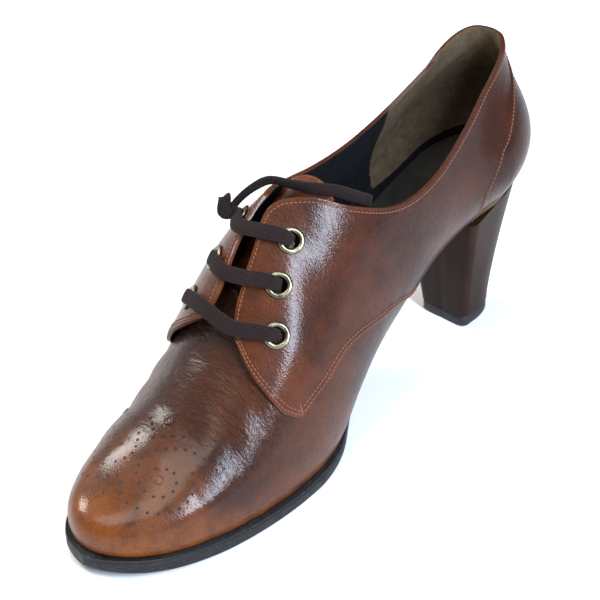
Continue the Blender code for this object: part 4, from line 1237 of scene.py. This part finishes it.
def spread(count, guides):
    """Places spread along a smooth row through its guide points."""
    table = np.column_stack((np.arange(len(guides)), guides))
    shares = np.linspace(0, len(guides) - 1, count)
    return np.stack((read(table, 1, shares), read(table, 2, shares)), -1)


def on_toe(x, y, above):
    """Point just above the vamp, and its direction, for a place on the flat template."""
    side = INNER if x >= 0 else OUTER
    if y < 0:
        girth = TOE_FAN * math.atan2(abs(x), -y) / (math.pi / 2)
        rise = 1 - math.hypot(x, y) / TEMPLATE_HALF
    else:
        girth = TOE_FAN + y / 1000
        rise = 1 - abs(x) / TEMPLATE_HALF
    point, normal = last(side, girth, rise), last_normal(side, girth, rise)
    return point + (above - vamp_relief(point)) * normal, normal


def lathe_object(name, profile, segments, closed):
    return link_object(name, lathe_mesh(name, [((0, 0, 0), (0, 0, 1))], profile, segments, closed))


def make_toe_pattern():
    """Small punched holes and larger pressed rings on the toe, their shapes drawn at a radius of 1. The holes
    are not cut: dark cups of painted shade stand for them.
    """
    spots = [on_toe(x, y, HOLE_LIFT) for count, *guides in TOE_ROWS for x, y in spread(count, guides)]
    cup = lathe_object("cup", ((0.00001, 0.0), (0.8, 0.02), (1.0, -0.02), (1.05, -0.15)), 12, False)
    punch("toe_holes", spots, [TOE_HOLE] * len(spots), cup, HOLE_SHADE)
    turns = np.linspace(0, 2 * math.pi, 8, endpoint=False)
    ring = lathe_object("ring", [(1.0 + 0.16 * math.cos(t), 0.10 * math.sin(t)) for t in turns], 28, True)
    spots = [on_toe(x, y, RING_LIFT) for x, y, radius in TOE_RINGS]
    punch("toe_rings", spots, [radius / 1000 for x, y, radius in TOE_RINGS], ring, RING)


# How a share along an edge of the quarter and a share inwards from it become a place on the quarter
EDGE_PLACES = {
    "front": lambda along, inward: (inward, along),
    "back": lambda along, inward: (1 - inward, along),
    "top": lambda along, inward: (along, 1 - inward),
    "bottom": lambda along, inward: (along, inward),
}


def inset_line(side, edge, distance, start, end, count=160):
    """A line on the quarter, a set distance inside one of its edges."""
    place = EDGE_PLACES[edge]
    inwards = np.linspace(0, 0.35, 60)
    line = []
    for along in np.linspace(start, end, count):
        ways = ways_along(quarter(side, *place(along, inwards)))
        spot = place(along, np.interp(distance, ways, inwards))
        line.append(quarter(side, *spot) + THREAD_LIFT * quarter_normal(side, *spot))
    return np.array(line)


def make_stitches():
    for side, word in SIDE_NAMES.items():
        sew("facing_stitches_" + word, [inset_line(side, "front", row, 0.06, 0.955) for row in FACING_ROWS])
        sew("collar_stitches_" + word, [inset_line(side, "top", COLLAR_ROW, 0.028, 0.985, 260)])
        sew("seam_stitches_" + word, [inset_line(side, "bottom", row, 0.015, 0.62, 180) for row in SEAM_ROWS])
        sew("counter_stitches_" + word, [inset_line(side, "back", COUNTER_ROW, 0.03, 0.97)])
        lift = THREAD_LIFT * quarter_normal(side, 0.02, 0.08)
        tack = [quarter(side, 0.012 + 0.02 * t, 0.035 + 0.085 * t) + lift for t in np.linspace(0, 1, 24)]
        sew("bar_tack_" + word, [tack], pitch=TACK_PITCH, length=TACK_LENGTH)
    lines = tongue_lines()
    edge = lines[-2] * 0.7 + lines[-1] * 0.3 + (0, -0.00005, 0.00012)
    sew("tongue_stitches", [edge[1:-1]])


def make_eyelets():
    profile = [(EYELET_FLANGE + EYELET_FLANGE_HALF * math.cos(t), EYELET_SEAT + EYELET_CROWN * math.sin(t))
               for t in np.linspace(0, math.pi, 9)]
    profile += [(EYELET_BORE, -EYELET_DEPTH), (EYELET_BARREL, -EYELET_DEPTH), (PUNCH_RADIUS, EYELET_SEAT)]
    for side, word in SIDE_NAMES.items():
        for number, spot in enumerate(EYELETS[side], 1):
            name = "eyelet_%s_%d" % (word, number)
            place = (quarter(side, *spot), quarter_normal(side, *spot))
            mesh = lathe_mesh(name + "_ring", [place], profile, 48)
            face_outwards(mesh)
            piece = add_piece(name + "_ring", mesh, [BRASS])
            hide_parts(name)


def make_lace_bar(level, number):
    """One bar from inside the shoe, up through its inner eyelet, across and down the outer one."""
    halves = []
    for side, crossing in zip((INNER, OUTER), CROSSINGS[level]):
        spot = np.array(EYELETS[side][number])
        crossing = np.array(crossing)
        center, normal = quarter(side, *spot), quarter_normal(side, *spot)
        toward = unit(quarter(side, *(0.7 * spot + 0.3 * crossing)) - center)
        half = [center + lift * normal + shift * toward for lift, shift, width, thickness in LACE_ENTRY]
        sizes = [entry[2:] for entry in LACE_ENTRY]
        for share, lift in LACE_REST:
            a, b = (1 - share) * spot + share * crossing
            half.append(quarter(side, a, b) + lift * quarter_normal(side, a, b))
            sizes.append((LACE_WIDTH, LACE_THICKNESS))
        halves.append((half, sizes, normal))
    knots = np.array(halves[0][0] + halves[1][0][::-1])
    sizes = np.array(halves[0][1] + halves[1][1][::-1])
    line = lace_curve(knots, LACE_STEP)
    ways = ways_along(line)
    nearest = [int(np.argmin(np.linalg.norm(line - knot, axis=1))) for knot in knots]
    widths, thicknesses = (np.interp(ways, ways[nearest], sizes[:, k]) for k in (0, 1))
    bar = unit(knots[-4] - knots[3])
    share = (ways / ways[-1])[:, None]
    normals = (1 - share) * halves[0][2] + share * halves[1][2]
    across = np.cross(normals, bar)
    mesh = ribbon_mesh("lace_" + level, line, across, widths, thicknesses)
    piece = add_piece("lace_" + level, mesh, [LACE])
    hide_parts("lace_bar_" + level)


def make_lace_loop():
    """The lace from the top outer eyelet, turning over into its free end."""
    spot = EYELETS[OUTER][-1]
    center, normal = quarter(OUTER, *spot), quarter_normal(OUTER, *spot)
    free = np.array(LACE_END) - MIDDLE
    run_on = free[1] - free[0]
    line = lace_curve([center - 0.0015 * normal, center + 0.0020 * normal,
                       center + 0.0056 * normal + (-0.0008, -0.0016, -0.0016),
                       center + 0.0072 * normal + (-0.0004, 0.0004, 0.0024),
                       free[0] - 0.25 * run_on, free[0] + 0.3 * run_on], LACE_LOOP_STEP)
    share = np.linspace(0, 1, len(line))[:, None]
    across = (1 - share) * np.array((0.1, 1.0, 0.1)) + share * np.array((0.15, 0.75, 0.65))
    widths = np.linspace(*LACE_LOOP_WIDTH, len(line))
    mesh = ribbon_mesh("lace_loop", line, across, widths, np.full(len(line), LACE_LOOP_THICKNESS))
    add_piece("lace_loop", mesh, [LACE])


# Sole, insole and heel
def sole_stations(start, end, count):
    t = np.linspace(0, 1, count)
    eased = 0.5 - 0.5 * np.cos(math.pi * t)
    return start + 0.00005 + (end - start - 0.0001) * (0.35 * t + 0.65 * eased)


def make_outsole():
    rings = []
    for station in sole_stations(-SOLE_EDGE[0][2], SEAT_END + SOLE_EDGE[-1][2], 150):
        held = max(station, 0.0)
        inner, outer = (half_width(side, station, float(read(SOLE_EDGE, column, held)))
                        for side, column in ((INNER, 2), (OUTER, 3)))
        top = float(read(FEATHER, 1, held)) - JOINT_GAP
        low = max(top - float(read(SOLE_EDGE, 1, held)), 0.0)
        cut = min(SOLE_CUT, 0.3 * min(inner, outer))
        edge = [(cut, low), (0.25 * cut, low + 0.3 * cut), (0.0, low + cut)]
        edge += [(depth, low + share * (top - low)) for share, depth in SOLE_GROOVE]
        edge += [(step, top - drop) for step, drop in SOLE_RIM]
        outline = [(inner - step, z) for step, z in edge] + [(step - outer, z) for step, z in edge[::-1]]
        rings.append([np.array((toe_middle(held) + x, station, z)) - MIDDLE for x, z in outline])
    piece = add_piece("sole", loft_mesh("sole", rings, 35), [SOLE])
    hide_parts("outsole")


def make_insole():
    rings = []
    for station in sole_stations(INSOLE_INSET, SEAT_END - INSOLE_INSET, 110):
        inner, outer = (half_width(side, station, -INSOLE_INSET) for side in (INNER, OUTER))
        low = float(read(FEATHER, 1, station)) + INSOLE_LIFT
        high = low + INSOLE_THICKNESS
        cut = min(INSOLE_CUT, 0.3 * min(inner, outer))
        across = np.linspace(1, -1, 9)[1:-1]
        hollow = [(inner * max(t, 0) + outer * min(t, 0), high - INSOLE_HOLLOW * (1 - t * t)) for t in across]
        top = [(inner - cut, high), *hollow, (-outer + cut, high)]
        outline = [(-outer, low), (inner, low), (inner, high - cut), *top, (-outer, high - cut)]
        rings.append([np.array((toe_middle(station) + x, station, z)) - MIDDLE for x, z in outline])
    piece = add_piece("insole_sock", loft_mesh("insole_sock", rings, 40), [SOCK])
    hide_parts("insole")


def heel_outline(level, inset=0.0):
    """Level outline of the heel: flat front with its seam, rounded corners, curved back."""
    flare = level**HEEL_FLARE
    front = BREAST_BOTTOM + (BREAST_TOP - BREAST_BOTTOM) * level + inset
    back = HEEL_BACK_BOTTOM + (HEEL_BACK_TOP - HEEL_BACK_BOTTOM) * flare - inset
    half = HEEL_HALF_BOTTOM + (HEEL_HALF_TOP - HEEL_HALF_BOTTOM) * flare - inset
    center = HEEL_MIDDLE_BOTTOM * (1.0 - level)
    corner = HEEL_CORNER - inset
    side_end = front + (back - front) * (0.30 + 0.10 * level)
    points = []
    for x in np.linspace(0, half - corner, 7)[:-1]:
        points.append((center + x, front + HEEL_SEAM * bell(x, 0, HEEL_SEAM_HALF)))
    for t in np.linspace(0, math.pi / 2, 9):
        points.append((center + half - corner + corner * math.sin(t), front + corner - corner * math.cos(t)))
    for t in np.linspace(0, math.pi, 49):
        points.append((center + half * math.cos(t), side_end + (back - side_end) * math.sin(t) ** 0.9))
    for t in np.linspace(math.pi / 2, 0, 9):
        points.append((center - half + corner - corner * math.sin(t), front + corner - corner * math.cos(t)))
    for x in np.linspace(half - corner, 0, 7)[1:-1]:
        points.append((center - x, front))
    return points


def make_heel():
    base = HEEL_TIP + JOINT_GAP
    rings = []
    for level in np.linspace(0, 1, 40):
        ring = []
        for x, station in heel_outline(level):
            under = float(read(FEATHER, 1, station) - read(SOLE_EDGE, 1, station)) - 2 * JOINT_GAP
            ring.append(np.array((x, station, base + (under - base) * level)) - MIDDLE)
        rings.append(ring)
    piece = add_piece("heel_block", loft_mesh("heel_block", rings, 50), [HEEL_COVER])
    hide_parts("heel")
    rings = [[np.array((x, station, z)) - MIDDLE for x, station in heel_outline(0.0, inset)]
             for z, inset in TIP_RINGS]
    piece = add_piece("heel_tip_rubber", loft_mesh("heel_tip_rubber", rings, 50), [TIP])
    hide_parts("heel_tip")


# Floor and light
def make_light(name, location, target, size, power, color):
    data = bpy.data.lights.new(name, "AREA")
    data.shape = "RECTANGLE"
    data.size, data.size_y = size
    data.energy = power
    data.color = color
    light = link_object(name, data)
    light.location = location
    light.rotation_mode = "QUATERNION"
    light.rotation_quaternion = (Vector(target) - Vector(location)).to_track_quat("-Z", "Y")


def make_stage():
    signs = ((-1, -1), (1, -1), (1, 1), (-1, 1))
    corners = [(FLOOR_HALF * x, FLOOR_HALF * y, FLOOR_HEIGHT) for x, y in signs]
    mesh = bpy.data.meshes.new("floor")
    mesh.from_pydata(corners, [], [(0, 1, 2, 3)])
    pale = Finish("pale floor", 0.7)
    pale.color(FLOOR_COLOR)
    mesh.materials.append(pale.material)
    link_object("floor", mesh)
    for light in LIGHTS:
        make_light(*light)
    world = bpy.data.worlds.new("room")
    world.use_nodes = True
    background = world.node_tree.nodes["Background"]
    background.inputs["Color"].default_value = (1.0, 1.0, 1.0, 1.0)
    background.inputs["Strength"].default_value = ROOM_LIGHT
    SCENE.world = world
    SCENE.view_settings.view_transform = "Standard"
    SCENE.view_settings.exposure = 0.0


make_vamp()
make_quarter(INNER)
make_quarter(OUTER)
make_counter()
make_tongue()
make_toe_pattern()
make_stitches()
make_eyelets()
for index, bar_level in enumerate(CROSSINGS):
    make_lace_bar(bar_level, index)
make_lace_loop()
make_outsole()
make_insole()
make_heel()
make_stage()
